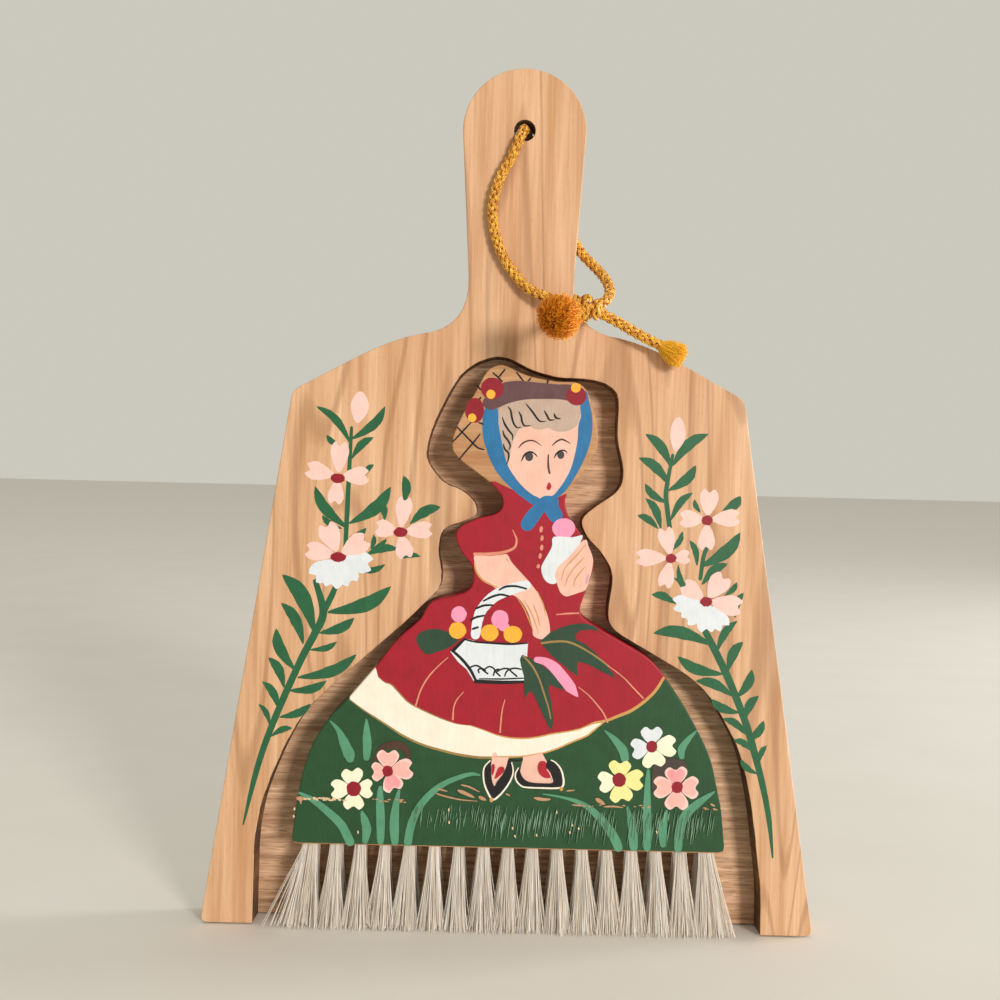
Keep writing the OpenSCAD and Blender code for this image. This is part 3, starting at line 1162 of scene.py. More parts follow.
@dataclass
class Braid:
    """Eight yarns plaited over a soft core, four each way, each over one and under one; the core is painted dark as the
    shade between the yarns.
    """

    yarns_each_way: int = 4
    ride_mm: float = 1.14
    dip_mm: float = 0.22
    half_width_mm: float = 0.54
    half_height_mm: float = 0.34
    lay_mm: float = 9.6
    core_mm: float = 1.02
    yarn_sides: int = 8
    core_sides: int = 8
    filaments: float = 7.0
    filament_twist: float = 2.5

    def mesh(self, path: Path, name: str, finishes: Finishes) -> bpy.types.Object:
        """Plaits the braid along a path.

        Args:
            path: the centreline.
            name: the piece's name.
            finishes: the shared materials.

        Returns:
            The piece.
        """
        bm = bmesh.new()
        wind = bm.verts.layers.float.new("wind")
        turn = 2 * math.pi / self.lay_mm
        step = path.length / (len(path.centres) - 1)
        n = self.yarns_each_way
        for hand in (1, -1):
            for k in range(n):
                rings = []
                for i, centre in enumerate(path.centres):
                    s = i * step
                    angle = hand * turn * s + 2 * math.pi * k / n
                    out = path.around(i, angle)
                    ahead = path.around(i, angle + math.pi / 2)
                    radius = self.ride_mm + hand * self.dip_mm * math.cos(n * turn * s)
                    way = (path.ways[i] + ahead * (hand * turn * radius)).normalized()
                    across = way.cross(out)
                    middle = centre + out * radius
                    ring = []
                    for m in range(self.yarn_sides):
                        a = 2 * math.pi * m / self.yarn_sides
                        wide, high = self.half_width_mm * math.cos(a), self.half_height_mm * math.sin(a)
                        vert = bm.verts.new((middle + (across * wide + out * high)) * MM)
                        vert[wind] = self.filaments * math.cos(a) + self.filament_twist * s * hand
                        ring.append(vert)
                    rings.append(ring)
                skin_tube(bm, rings)
        core = []
        angles = [2 * math.pi * m / self.core_sides for m in range(self.core_sides)]
        for i, centre in enumerate(path.centres):
            core.append([bm.verts.new((centre + path.around(i, a) * self.core_mm) * MM) for a in angles])
        yarns = len(bm.faces)
        skin_tube(bm, core)
        bm.faces.ensure_lookup_table()
        # The core takes the dark material: painted shade where the gaps between the yarns show.
        for face in bm.faces[yarns:]:
            face.material_index = 1
        bmesh.ops.recalc_face_normals(bm, faces=bm.faces)
        obj = to_object(bm, name, [finishes.yarn, finishes.core])
        obj.data.shade_smooth()
        return obj


def skin_tube(bm: bmesh.types.BMesh, rings: Sequence[Sequence[bmesh.types.BMVert]]) -> None:
    """Skins a run of rings and closes both ends.

    Args:
        bm: the mesh.
        rings: the rings, all with the same number of corners.
    """
    n = len(rings[0])
    for low, high in zip(rings, rings[1:]):
        for m in range(n):
            bm.faces.new([low[m], low[(m + 1) % n], high[(m + 1) % n], high[m]])
    bm.faces.new(list(rings[0])[::-1])
    bm.faces.new(list(rings[-1]))


@dataclass
class HangingCord:
    """The gold cord: both its runs, the overhand knot that joins them and the two teased ends."""

    finishes: Finishes
    fibres: FibreTree
    diameter_mm: float = 3.2
    front_run: Tuple[Spot, ...] = (
        (0, 4.2, 1.3), (-0.3, 1, 0.5), (-1.1, -1.3, -1.8), (-2.2, -2.2, -4.8), (-4, -2.1, -9), (-6.5, -2, -13.5),
        (-8.3, -2, -18.5), (-9.1, -2, -24), (-8.6, -2, -29.5), (-7, -2, -35), (-4.5, -2, -40), (-1.5, -2.3, -44),
        (2.4, -3.2, -47.8), (8, -4.8, -50.5), (14, -5.6, -52.3), (19, -5.8, -53.4), (24, -5.4, -55),
        (29, -4.8, -57.3), (34, -4.4, -60), (39, -4.2, -62.5), (42, -4.2, -63.8),
    )
    rear_run: Tuple[Spot, ...] = (
        (0.2, 4.2, 1.3), (1.1, 7.4, 0.8), (1.9, 9.7, -1.5), (2.9, 10.7, -4.8), (5, 10.6, -9.5), (8.5, 10.5, -16),
        (12, 10.5, -22.5), (15, 10.4, -28.5), (18, 10, -33.5), (21, 8, -37.2), (24, 4.5, -41), (26, 0.5, -45),
        (26.2, -3.5, -49), (23.5, -6, -52.3), (19, -7.6, -54), (15.5, -10, -55), (13.6, -14, -56),
        (12.6, -18, -56.8), (12, -22, -57.4),
    )
    knot_at: Spot = (19.0, -6.0, -53.4)
    knot_turn_deg: float = 26.0
    knot_length_mm: float = 7.4
    knot_radius_mm: float = 2.5
    knot_turns: float = 2.3
    knot_start: float = 0.6
    knot_steps: int = 30
    tuck_rate: float = 6.0
    tuck_least: float = 0.35

    def build(self) -> None:
        """Makes the cord and its pieces."""
        braid = Braid()
        knot = self._knot(braid)
        ends = self._ends()
        runs = (
            ("cord_front_run", self.front_run, "cord_front", (0.0, 0.0, 0.0), "bare", [knot, ends[0]]),
            ("cord_rear_run", self.rear_run, "cord_rear", (0.0, 0.0125, -0.002), "bare", [ends[1]]),
        )
        for name, points, node, mouth, far_end, pieces in runs:
            path = Path(points)
            piece = braid.mesh(path, name, self.finishes)
            self._dress(piece, node)
            log.info("%s: %.0f mm of braid", name, path.length)

    def _dress(self, piece: bpy.types.Object, node: str) -> None:
        """Lets a piece ride on the pan in place of a node."""
        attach(piece, "pan")
        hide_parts(node)

    def _knot(self, braid: Braid) -> bpy.types.Object:
        """Winds the knot's turns round the two runs."""
        turn = math.radians(self.knot_turn_deg)
        way = Vector((math.cos(turn), 0, -math.sin(turn)))
        up = Vector((math.sin(turn), 0, math.cos(turn)))
        out = Vector((0, -1, 0))
        points = []
        for i in range(self.knot_steps + 1):
            share = i / self.knot_steps
            angle = 2 * math.pi * self.knot_turns * share + self.knot_start
            tuck = min(1.0, *(self.tuck_rate * end + self.tuck_least for end in (share, 1 - share)))
            radius = self.knot_radius_mm * tuck
            spot = Vector(self.knot_at) + way * self.knot_length_mm * (share - 0.5)
            points.append(spot + up * radius * math.cos(angle) + out * radius * math.sin(angle))
        piece = braid.mesh(Path([tuple(p) for p in points]), "cord_knot_turns", self.finishes)
        self._dress(piece, "cord_knot")
        return piece

    def _ends(self) -> List[bpy.types.Object]:
        """Teases out the two cut ends."""
        made = []
        plan = (
            (
                "cord_right_fringe", "cord_end_right", self.finishes.bright_floss, (41.2, -4.2, -63.5),
                (0.88, 0.0, -0.47), 6.6, 2.3, 0.45,
            ),
            (
                "cord_front_fringe", "cord_end_front", self.finishes.floss, (12.0, -20.6, -57.3),
                (-0.3, -0.9, -0.32), 8.0, 4.6, 0.75,
            ),
        )
        for number, (name, node, finish, root, way, length, fan, bulge) in enumerate(plan):
            aim = Vector(way).normalized()
            side = aim.orthogonal().normalized()
            tuft = Tuft(Vector(root), aim * length, side * fan, aim.cross(side) * fan)
            piece = self.fibres.grow(
                name, [tuft], finish, fibres=2200, thickness_mm=0.06, root_share=1.5 / fan * 0.8, bulge=bulge,
                uneven=0.12, bend_mm=1.6, points=7, seed=31 + number,
            )
            self._dress(piece, node)
            made.append(piece)
        return made


# ---------------------------------------------------------------- the pan


@dataclass
class CrumbPan:
    """The sawn board, the plywood floor behind it and the peg that carries the brush."""

    finishes: Finishes
    ease_mm: float = 0.5
    floor_ease_mm: float = 0.3
    shoulder_mm: float = 79.0
    half_shoulder_mm: float = 68.0
    half_foot_mm: float = 93.0
    foot_mm: float = 241.0
    foot_cut_mm: float = 240.0
    recess_top_mm: float = 66.0
    half_recess_mm: float = 36.0
    hole_mm: float = 4.0
    side_mm: float = 4.0

    def build(self) -> None:
        """Makes the board and the floor, and dresses the peg."""
        board = to_object(
            merged_copy("pan_frame"), "pan_board",
            [self.finishes.board, self.finishes.end_grain, self.finishes.sawn],
        )
        for face in board.data.polygons:
            face.material_index = self._wall_kind(face.center / MM, face.normal)
        ease_edges(board, self.ease_mm, 3)
        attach(board, "pan")
        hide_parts("pan_frame")
        floor = to_object(merged_copy("pan_back"), "pan_floor", [self.finishes.ply])
        ease_edges(floor, self.floor_ease_mm, 2)
        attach(floor, "pan")
        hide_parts("pan_back")
        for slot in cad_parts["hang_peg"].material_slots:
            slot.material = self.finishes.beech
        log.info("pan: board %d faces, floor %d faces", len(board.data.polygons), len(floor.data.polygons))

    def _wall_kind(self, middle: Vector, normal: Vector) -> int:
        """Returns the slot for a face: 0 front and back, 1 outer edge, 2 sawn wall, dark partly with painted shade."""
        if abs(normal.y) > 0.5:
            return 0
        if middle.xz.length < self.hole_mm:
            return 2
        if middle.z > -self.shoulder_mm:
            return 2 if middle.z < -self.recess_top_mm and abs(middle.x) < self.half_recess_mm else 1
        share = (-middle.z - self.shoulder_mm) / (self.foot_mm - self.shoulder_mm)
        half = self.half_shoulder_mm + share * (self.half_foot_mm - self.half_shoulder_mm)
        foot = normal.z < -0.9 and middle.z < -self.foot_cut_mm
        return 1 if foot or abs(middle.x) > half - self.side_mm else 2


# ---------------------------------------------------------------- the brush


@dataclass
class FigureBrush:
    """The sawn figure, the stock glued below it, the wires in the stock and both rows of bristle."""

    finishes: Finishes
    fibres: FibreTree
    ease_mm: float = 0.45
    front_mm: float = -4.0
    tufts_in_row: int = 17
    half_row_mm: float = 59.5
    row_y_mm: Tuple[float, float] = (-1.0, 5.2)
    foot_z_mm: float = -215.0
    tuft_out_mm: float = 26.0
    end_lean_deg: float = 4.0
    stray_lean_deg: float = 1.2
    corner_lean_deg: float = 3.5
    fan_mm: Spot = (4.3, -0.3, 0.5)
    corner_fan_mm: float = 2.0
    row_depth_mm: float = 2.2
    sunk_mm: float = 1.0
    bare_top_mm: Flat = (-104.7, -108.0)
    bare_foot_mm: float = 0.6
    hems_mm: Spot = (-162.2, -171.0, -163.5)

    def build(self) -> None:
        """Makes both boards and the bristles, and dresses the wires."""
        for node, name, slot in (
            ("brush_figure", "figure_board", "painted_figure"), ("brush_stock", "stock_board", "painted_stock")
        ):
            self._board(node, name)
        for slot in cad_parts["tuft_wires"].material_slots:
            slot.material = self.finishes.wire
        self._bristles()

    def _board(self, node: str, name: str) -> None:
        """Eases and colours one of the brush's two boards."""
        colours = [Paint.CRIMSON, Paint.CREAM, Paint.GRASS]
        materials = [self.finishes.figure] + [self.finishes.paint(c) for c in colours]
        board = to_object(merged_copy(node) if node == "brush_figure" else slab(node), name, materials)
        ease_edges(board, self.ease_mm, 3, 60.0)
        for face in board.data.polygons:
            if abs(face.normal.y) < 0.995:
                middle = face.center / MM
                paint = self._edge_paint(middle.x, middle.z)
                face.material_index = 1 + colours.index(paint) if paint in colours else 0
        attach(board, "brush")
        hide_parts(node)
        log.info("%s: %d faces", name, len(board.data.polygons))

    def _edge_paint(self, x: float, z: float) -> Optional[Paint]:
        """Returns the colour that wraps onto the edge at a place, or none where the wood is bare."""
        left, right = self.bare_top_mm
        left_hem, petticoat, right_hem = self.hems_mm
        if z > (left if x < 0 else right) or z < self.foot_z_mm + self.bare_foot_mm:
            return None
        if x < 0:
            return Paint.CRIMSON if z > left_hem else Paint.CREAM if z > petticoat else Paint.GRASS
        return Paint.CRIMSON if z > right_hem else Paint.GRASS

    def _bristles(self) -> None:
        """Grows both rows of bristle and the few that stray at the left end."""
        tufts = []
        hand = random.Random(17)
        fan_mm, least, most = self.fan_mm
        foot = self.foot_z_mm + self.sunk_mm
        for row_y in self.row_y_mm:
            for i in range(self.tufts_in_row):
                share = 2 * i / (self.tufts_in_row - 1) - 1
                lean = self.end_lean_deg * share + hand.uniform(-self.stray_lean_deg, self.stray_lean_deg)
                lean = math.radians(lean)
                fan = fan_mm + hand.uniform(least, most)
                if abs(share) == 1:
                    lean += math.copysign(math.radians(self.corner_lean_deg), share)
                    fan += self.corner_fan_mm
                aim = Vector((math.sin(lean), 0, -math.cos(lean))) * (self.tuft_out_mm + self.sunk_mm)
                root = Vector((share * self.half_row_mm, row_y, foot))
                tufts.append(Tuft(root, aim, Vector((fan, 0, 0)), Vector((0, self.row_depth_mm, 0))))
        rows = self.fibres.grow(
            "bristle_rows", tufts, self.finishes.bristle, fibres=120, thickness_mm=0.088, root_share=0.32,
            uneven=0.03, bend_mm=1.1, points=6, seed=5,
        )
        strays = []
        for end_x, end_z in ((-74.0, -240.6), (-72.5, -239.6), (-71.0, -240.8), (-70.2, -238.4)):
            root = Vector((-60.2, -1.4, foot))
            strays.append(Tuft(root, Vector((end_x, -1.6, end_z)) - root, Vector((0.5, 0, 0)), Vector((0, 0.5, 0))))
        loose = self.fibres.grow(
            "bristle_strays", strays, self.finishes.bristle, fibres=2, thickness_mm=0.08, root_share=1.0,
            uneven=0.01, bend_mm=0.6, points=6, seed=9,
        )
        piece = joined("bristles", [rows, loose], [self.finishes.bristle])
        names = [f"tuft_{row}_{i:02d}" for row in ("front", "rear") for i in range(1, self.tufts_in_row + 1)]
        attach(piece, "brush")
        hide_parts(*names)
        log.info("bristles: %d faces", len(piece.data.polygons))


# ---------------------------------------------------------------- the painted figure


@dataclass
class FigurePainting:
    """The figure in her straw hat, scarf and red dress, with a basket, on a flowering hill."""

    finishes: Finishes
    front_mm: float = -4.0
    ease_mm: float = 0.4
    chips: int = 52
    rubs: int = 30
    scratches: int = 250

    def build(self) -> None:
        """Paints the figure and the hill, from the first coat to the last line."""
        self.outline = inset(front_outline("brush_figure"), self.ease_mm)
        self.stock = inset(front_outline("brush_stock"), self.ease_mm)
        self.brush = Painter("brush", self.front_mm, "painted_figure", self.finishes, 3)
        for stage in (
            self._hill, self._petticoat, self._ankles, self._dress, self._head, self._hat, self._arms, self._basket,
            self._folds, self._blades, self._flowers, self._shoes, self._wear,
        ):
            stage()
            self.brush.next_coat()
        pieces = self.brush.finish()
        log.info("figure painting: %d colours", len(pieces))

    def _run(self, start: Flat, end: Flat) -> Shape:
        """Returns the figure's edge from one place round to another, clockwise."""
        a, b = nearest(self.outline, start), nearest(self.outline, end)
        picked = self.outline[a : b + 1] if a <= b else self.outline[a:] + self.outline[: b + 1]
        return [(p.x, p.y) for p in picked]

    def _hill(self) -> None:
        """Paints the green ground down to the foot of the stock, and over the joint."""
        left = self._run((-63.5, -201.5), (-46, -167))
        right = self._run((44, -162), (63.5, -201.5))
        top = [(-38, -170), (-20, -180), (0, -184), (15, -181), (30, -174)]
        self.brush.fill(Paint.GRASS, left + top + right)
        self.brush.fill(Paint.GRASS, [(p.x, p.y) for p in self.stock])
        self.brush.fill(Paint.GRASS, [(-63.1, -202.6), (-63, -200.6), (63, -200.6), (63.1, -202.6)])

    def _petticoat(self) -> None:
        """Paints the cream petticoat and the gold line under it."""
        side = self._run((-48.6, -171), (-40.5, -161))
        top = [(-34, -166), (-26, -172), (-14, -176), (0, -180), (14, -178), (24, -174)]
        foot = [
            (28.3, -175.8), (27, -176.9), (25, -178.6), (22.5, -180.6), (18, -182.6), (14, -184.5), (10, -185.9),
            (6, -186.8), (2, -187.3), (-2, -187.6), (-6, -187.7), (-10, -187.7), (-16, -186.9), (-20, -186),
            (-26, -184.4), (-32, -181.8), (-38, -178.1), (-44, -174.4), (-48.4, -171.2),
        ]
        edge = [(v.x, v.y) for v in smooth(foot, 4)]
        self.brush.fill(Paint.CREAM, side + top + edge)
        self.brush.next_coat()
        self.brush.line(Paint.OCHRE, foot[7:], 0.75)
        self.brush.line(Paint.GOLD, foot[:10], 0.5)

    def _ankles(self) -> None:
        """Paints both ankles."""
        self.brush.fill(Paint.SKIN, [
            (-5.3, -186.5), (-4.4, -186), (-3.7, -187.2), (-0.4, -187.4), (-1.2, -190.5), (-2.3, -193),
            (-3.8, -195), (-4.5, -196.6), (-5.4, -195), (-5.8, -191),
        ])
        self.brush.fill(Paint.SKIN, [
            (3.9, -186.9), (9.3, -185.7), (9.9, -186.6), (10.9, -188.4), (12, -190), (12.4, -193), (13.2, -195),
            (6, -195.2), (3.6, -193.4), (3.1, -191.5), (3.6, -189),
        ])
        self.brush.line(Paint.GOLD, [(-5, -187.4), (-1, -187.3), (4, -187), (9.3, -186)], 0.4)

    def _dress(self) -> None:
        """Paints the red dress up to the scarf, and the gold hem."""
        hem = [
            (-40, -164.2), (-38, -165.8), (-36, -166.5), (-34, -168.5), (-31, -171.5), (-28, -173.2), (-24, -175),
            (-20, -176.6), (-16, -177.8), (-12, -178.2), (-8, -179.5), (-4, -180.9), (0, -181.6), (4, -181.7),
            (8, -181.2), (12, -180.2), (16, -179.5), (20, -178.6), (22.5, -177.6), (25, -176.5), (28.4, -175.8),
            (32, -174.3), (36, -172.5), (40, -169.5), (43, -166.3), (45.2, -162.6),
        ]
        left = self._run((-41, -162), (-8.6, -105.4))
        right = self._run((14.4, -109), (45.2, -162.6))
        neck = [(-6.5, -105.1), (-4, -106.2), (0, -108), (7, -111), (12, -109.6)]
        low = [(v.x, v.y) for v in smooth(hem, 3)][::-1]
        self.brush.fill(Paint.CRIMSON, left + neck + right + low)
        self.brush.next_coat()
        self.brush.line(Paint.OCHRE, hem[:10], 0.4)
        self.brush.line(Paint.GOLD, hem[9:22], 0.45)
        self.brush.stroke(Paint.GOLD, hem[18:], [0.4, 0.8, 0.9, 0.9, 0.8])

    def _head(self) -> None:
        """Paints the face, the hair and the blue scarf with its knot."""
        p = self.brush
        face = [
            (-5.8, -86), (-4, -93), (-2.8, -99), (-2.4, -101), (0, -104.4), (2.2, -106.8), (4.8, -108.8), (7, -110),
            (10.6, -109), (12.3, -107.5), (14.4, -104.3), (16, -100.7), (17.2, -96), (18, -90), (18.2, -84),
            (10, -81), (0, -82),
        ]
        p.fill(Paint.SKIN, blob(face))
        p.next_coat()
        hair = [
            (-5.9, -84), (-4, -81.5), (0, -80), (8, -79.5), (14, -79.5), (18.3, -81), (18.5, -84), (18, -86.5),
            (17.4, -88), (16, -89), (14, -89.8), (12, -89.9), (10.5, -89.6), (9, -88.9), (7, -89.4), (5, -89.3),
            (3.5, -88.6), (0.5, -89.4), (-0.4, -91), (-1.2, -92.6), (-1.8, -95), (-2.2, -98), (-3, -100.4),
            (-3.9, -98), (-4.7, -94.5), (-5.5, -91), (-6.2, -87),
        ]
        p.fill(Paint.HAIR, blob(hair, 4))
        left = [
            (-10.2, -84.3), (-10.6, -88), (-10.3, -92), (-9.2, -95.7), (-7.8, -99.2), (-6.2, -102), (-4, -104.7),
            (-2, -106.6), (0, -108.4), (2.2, -110), (4.2, -111.4), (6, -112), (7, -110), (4.7, -108.8),
            (2.2, -106.9), (0, -104.6), (-2.2, -101.4), (-3.1, -99.6), (-4.1, -96), (-5, -92), (-5.8, -88),
            (-6.1, -84), (-8, -81),
        ]
        right = [
            (20.2, -78), (21.2, -82), (21.9, -85), (22.1, -89), (21.5, -93), (20.2, -97.2), (18.4, -101.2),
            (16.6, -104.4), (14.6, -107.4), (12.4, -109.5), (10, -112), (8, -111), (8.4, -109.1), (10.6, -109),
            (12, -107.7), (14.2, -104.5), (15.9, -101), (17, -97), (17.8, -92), (17.9, -88), (18.6, -85),
            (18.3, -82), (18.6, -78),
        ]
        p.fill(Paint.BLUE, blob(left, 4))
        p.fill(Paint.BLUE, blob(right, 4))
        p.fill(Paint.BLUE, blob([
            (6.5, -110.4), (8.2, -109.2), (10.8, -109.2), (12.4, -110), (12.7, -112), (13.6, -113.7), (14, -115.4),
            (12.6, -116.1), (11.4, -117), (9.8, -115.8), (8.5, -114), (7.4, -115.4), (6, -117.6), (4.6, -119.3),
            (3, -119.6), (1.7, -118.6), (1.6, -117), (3, -114.5), (5, -112.2),
        ], 4))
        p.next_coat()
        for lock in (
            [(-3.1, -82.9), (-2.3, -84), (-1.9, -86), (-1.2, -88), (-0.2, -89), (1, -88.8)],
            [(0.1, -84.3), (0.8, -85.5), (1.2, -87.3), (2, -88.4), (3.8, -88.3)],
            [(2.2, -81.9), (4, -84), (5.5, -86), (6.6, -87), (8.2, -86.9)],
            [(7.7, -83.8), (8.6, -85.4), (9.4, -86.5), (10.8, -86.4)],
            [(10.6, -84.6), (11.2, -85.8), (12.6, -86.1)],
            [(-4.7, -86.1), (-4, -88), (-2.8, -89.8), (-1.6, -91.3), (-1.6, -92.8)],
            [(-4.5, -90), (-4, -91.5), (-2.8, -93), (-2.2, -94.5), (-2.6, -95.8)],
            [(-4.2, -94), (-3.8, -95.4), (-2.7, -96.6), (-2.6, -98), (-3.1, -100)],
        ):
            p.line(Paint.BLACK, lock, 0.62)
        self._face_lines()

    def _face_lines(self) -> None:
        """Draws the brows, eyes, nose and mouth."""
        p = self.brush
        p.line(Paint.UMBER, [(0.3, -95), (1.5, -93.6), (3.2, -92.8), (5, -92.9), (7.1, -94.2)], 0.48)
        p.line(Paint.UMBER, [(10.3, -94.1), (11.5, -92.9), (13, -92.2), (14.5, -92.7), (15.7, -93.4)], 0.52)
        p.fill(Paint.GREY, oval((3.5, -97.5), 2.4, 2.8))
        p.fill(Paint.GREY, oval((12.9, -96.8), 2.1, 2.4))
        p.stroke(Paint.UMBER, [(9.2, -96.9), (9.2, -99), (9.4, -101), (9.7, -102.3)], [0.35, 0.6, 0.6])
        p.fill(Paint.LIPS, blob([(9.7, -105), (10.35, -106.2), (9.7, -107.4), (8.9, -106.8), (9.2, -105.6)], 5))
        p.next_coat()
        p.line(Paint.BLACK, [(1.3, -98.9), (1.8, -97.6), (2.6, -96.6), (4, -96.1), (5.3, -96.8), (5.9, -97.5)], 0.55)
        p.line(Paint.BLACK, [(11, -97.7), (11.6, -96.5), (12.7, -95.6), (14, -95.5), (14.9, -96.2)], 0.52)

    def _hat(self) -> None:
        """Paints the hat's lattice, band and roses."""
        p = self.brush
        for line in (
            [(-14, -87.8), (-16.6, -90.7), (-19.3, -93.7)],
            [(-18.1, -89.2), (-16.6, -90.7), (-13, -94.2), (-11.5, -95.4), (-10, -95.7)],
            [(-11.3, -91.3), (-13.2, -93.8), (-15.5, -96.6), (-17.3, -98.9)],
            [(-7.8, -72.9), (-6.4, -74.1), (-5, -75.4)], [(-4.3, -71.9), (-6.2, -74.3)],
            [(-0.8, -72.6), (0, -73.6), (1.3, -75.2)], [(3.5, -74.2), (2.7, -75.1)], [(8.6, -74.5), (8.4, -75.7)],
            [(-12.4, -76.8), (-11.4, -78)], [(-11.2, -80.3), (-12, -81.2)], [(-11.6, -87.8), (-10.4, -88.2)],
        ):
            p.stroke(Paint.BLACK, line, [0.4, 0.52, 0.4])
        band = [
            (-4.6, -75.8), (-3, -75.4), (0, -75.1), (4, -75.4), (8, -75.7), (12, -75.9), (16, -76), (17, -78),
            (16, -80.6), (12, -80.3), (8, -80.3), (3, -80.5), (0, -81), (-3, -81.9), (-6, -83.2), (-8, -83.9),
            (-10, -83.2), (-10.6, -81.5), (-9, -79), (-6.5, -77),
        ]
        p.fill(Paint.MAUVE, blob(band, 4))
        p.next_coat()
        for x, z, wide, tall in ((-7.9, -77.6, 6.8, 6.5), (-13, -84.2, 5.6, 7.4), (17.1, -79.2, 6.1, 5.6)):
            p.fill(Paint.ROSE, oval((x, z), wide, tall, 0, 26), 0.1)
        p.next_coat()
        for x, z, wide in ((-8.3, -79.3, 2.7), (-13.7, -86.4, 2.5), (16.9, -76.8, 2.9)):
            p.fill(Paint.YELLOW, oval((x, z), wide, wide, 0, 20), 0.04)

    def _arms(self) -> None:
        """Paints the arm, the hand, the pink scoop and the white cup, and the gold on the bodice."""
        p = self.brush
        arm = [
            (-12, -127.3), (-8, -127.4), (-4, -126.9), (-2.3, -126.8), (-1, -129), (1.3, -131.5), (4, -134.3),
            (6.5, -137.3), (8.6, -141), (10.2, -145), (10.9, -148.2), (10.8, -150.4), (9, -151.8), (7, -151.5),
            (5.9, -150.5), (5.7, -148.5), (5, -146), (4.3, -144), (3, -141.8), (1.5, -140), (-0.5, -138.8),
            (-4.5, -137.6), (-7, -135.9), (-9.4, -134.4), (-11, -132.4), (-11.8, -130),
        ]
        p.fill(Paint.SKIN, blob(arm, 3))
        hand = [
            (20.3, -122), (21.8, -123.8), (22.8, -126), (23.3, -128), (23, -131), (22.2, -134), (21.3, -136.7),
            (19, -137.8), (17, -138.5), (15.5, -138.9), (14, -138), (13.2, -136.5), (12.5, -134.5), (11.5, -132),
            (13, -129),
        ]
        p.fill(Paint.SKIN, blob(hand, 4))
        p.fill(Paint.CANDY, oval((14.3, -118.6), 6.8, 6.0, 4, 26), 0.08)
        p.next_coat()
        cup = [
            (11.4, -121.2), (17, -121.2), (19.9, -120.5), (19.4, -122.5), (17.8, -125), (15.5, -127.6),
            (13.2, -129.8), (12.3, -131.4), (12, -133), (12.6, -134.7), (11.5, -135.3), (9.8, -134.8),
            (8.5, -133.2), (7.9, -130.8), (8.3, -129.3), (9.8, -126.5), (11, -124),
        ]
        p.fill(Paint.WHITE, blob(cup, 3))
        p.fill(Paint.LILAC, oval((21.7, -133.6), 0.9, 3.2, -12, 14), 0.05)
        p.next_coat()
        sleeve = [
            (-12, -126.9), (-8, -126.8), (-4, -126.3), (-1.5, -125.5), (0, -124.4), (0.4, -122.5), (-0.1, -121),
            (-0.9, -119.4),
        ]
        p.stroke(Paint.FOLD, sleeve, [0.9, 0.9, 0.8, 0.7, 0.5, 0.2])
        p.stroke(Paint.FOLD, [(12.8, -144.4), (16, -144), (19.4, -143.8)], [0.3, 0.5, 0.4])
        p.line(Paint.GOLD, [(-12, -129), (-11.5, -131.8), (-9.6, -134.4), (-7, -135.9), (-4.5, -137)], 0.55)
        for line in (
            [(21, -123.3), (18, -127), (15, -130.5), (13.9, -134.2)],
            [(20.5, -127.2), (18, -130), (16, -133), (15, -136.2)],
            [(21, -129.8), (19.2, -132), (18, -134), (17.6, -136)],
            [(0.8, -139.4), (3.2, -143), (5, -147), (6, -149.5)],
            [(3, -140.5), (5, -143.5), (6.5, -147), (7.5, -150)], [(5.8, -141.5), (7.2, -145), (7.9, -148)],
            [(6.8, -137.5), (8.8, -141.5), (9.6, -145)], [(-2.6, -128), (-1.9, -129)],
        ):
            p.line(Paint.GOLD, line, 0.36)
        for x, z, tall in (
            (7.6, -119.1, 1.9), (7.9, -121.7, 1.7), (7.9, -124.5, 1.8), (7.5, -127, 1.7), (7, -130.1, 1.3)
        ):
            p.fill(Paint.FOLD, oval((x, z), 1.0, tall, -8, 14), 0.04)

    def _basket(self) -> None:
        """Paints the white basket, its striped handle, its fruit and its leaves."""
        p = self.brush
        handle = [
            (-11.2, -151), (-10.8, -147.5), (-9.9, -144.2), (-8, -141.4), (-5.7, -139.3), (-3.2, -138),
            (-0.3, -136.9), (3.6, -135.8),
        ]
        p.fill(Paint.WHITE, ribbon(handle, [2.8, 3.0, 3.1, 3.2, 3.4, 3.4, 3.3, 2.8], 5), 0.04, strip=True)
        p.fill(Paint.DEEP_LEAF, blob([
            (-28.8, -153), (-27, -150.3), (-22, -149.6), (-17.8, -151.3), (-16.4, -153), (-19, -154.9),
            (-22, -156.2), (-26, -157),
        ]))
        upper = [
            (8, -152.6), (11, -149.8), (14, -148.3), (17.5, -147.2), (21, -146.8), (24, -147.5), (25.7, -149.1),
            (23, -148.6), (19.8, -149), (18.6, -150.4), (19, -151.8), (21.5, -153), (24.5, -155.3), (27, -158),
            (30, -161.5), (31, -163), (28, -161.7), (25.5, -160.5), (22.5, -159), (19.5, -158.3), (19.3, -160),
            (19.7, -162.6), (17.5, -161.3), (15, -159.3), (12, -157), (9.5, -154.3),
        ]
        lower = [
            (2.8, -156.6), (5, -157.4), (8, -159), (11.5, -161.5), (14, -164.4), (15.7, -166.9), (13.5, -166.3),
            (11.2, -165.3), (11, -167), (11.8, -170), (12.4, -173.5), (12.6, -177), (12, -179.2), (10.5, -176.5),
            (9, -173.5), (7.3, -169.8), (6, -167.5), (5, -168), (3.9, -169.7), (3.7, -166.5), (3.5, -163),
            (2.6, -160), (2.2, -158),
        ]
        p.fill(Paint.DEEP_LEAF, upper)
        p.next_coat()
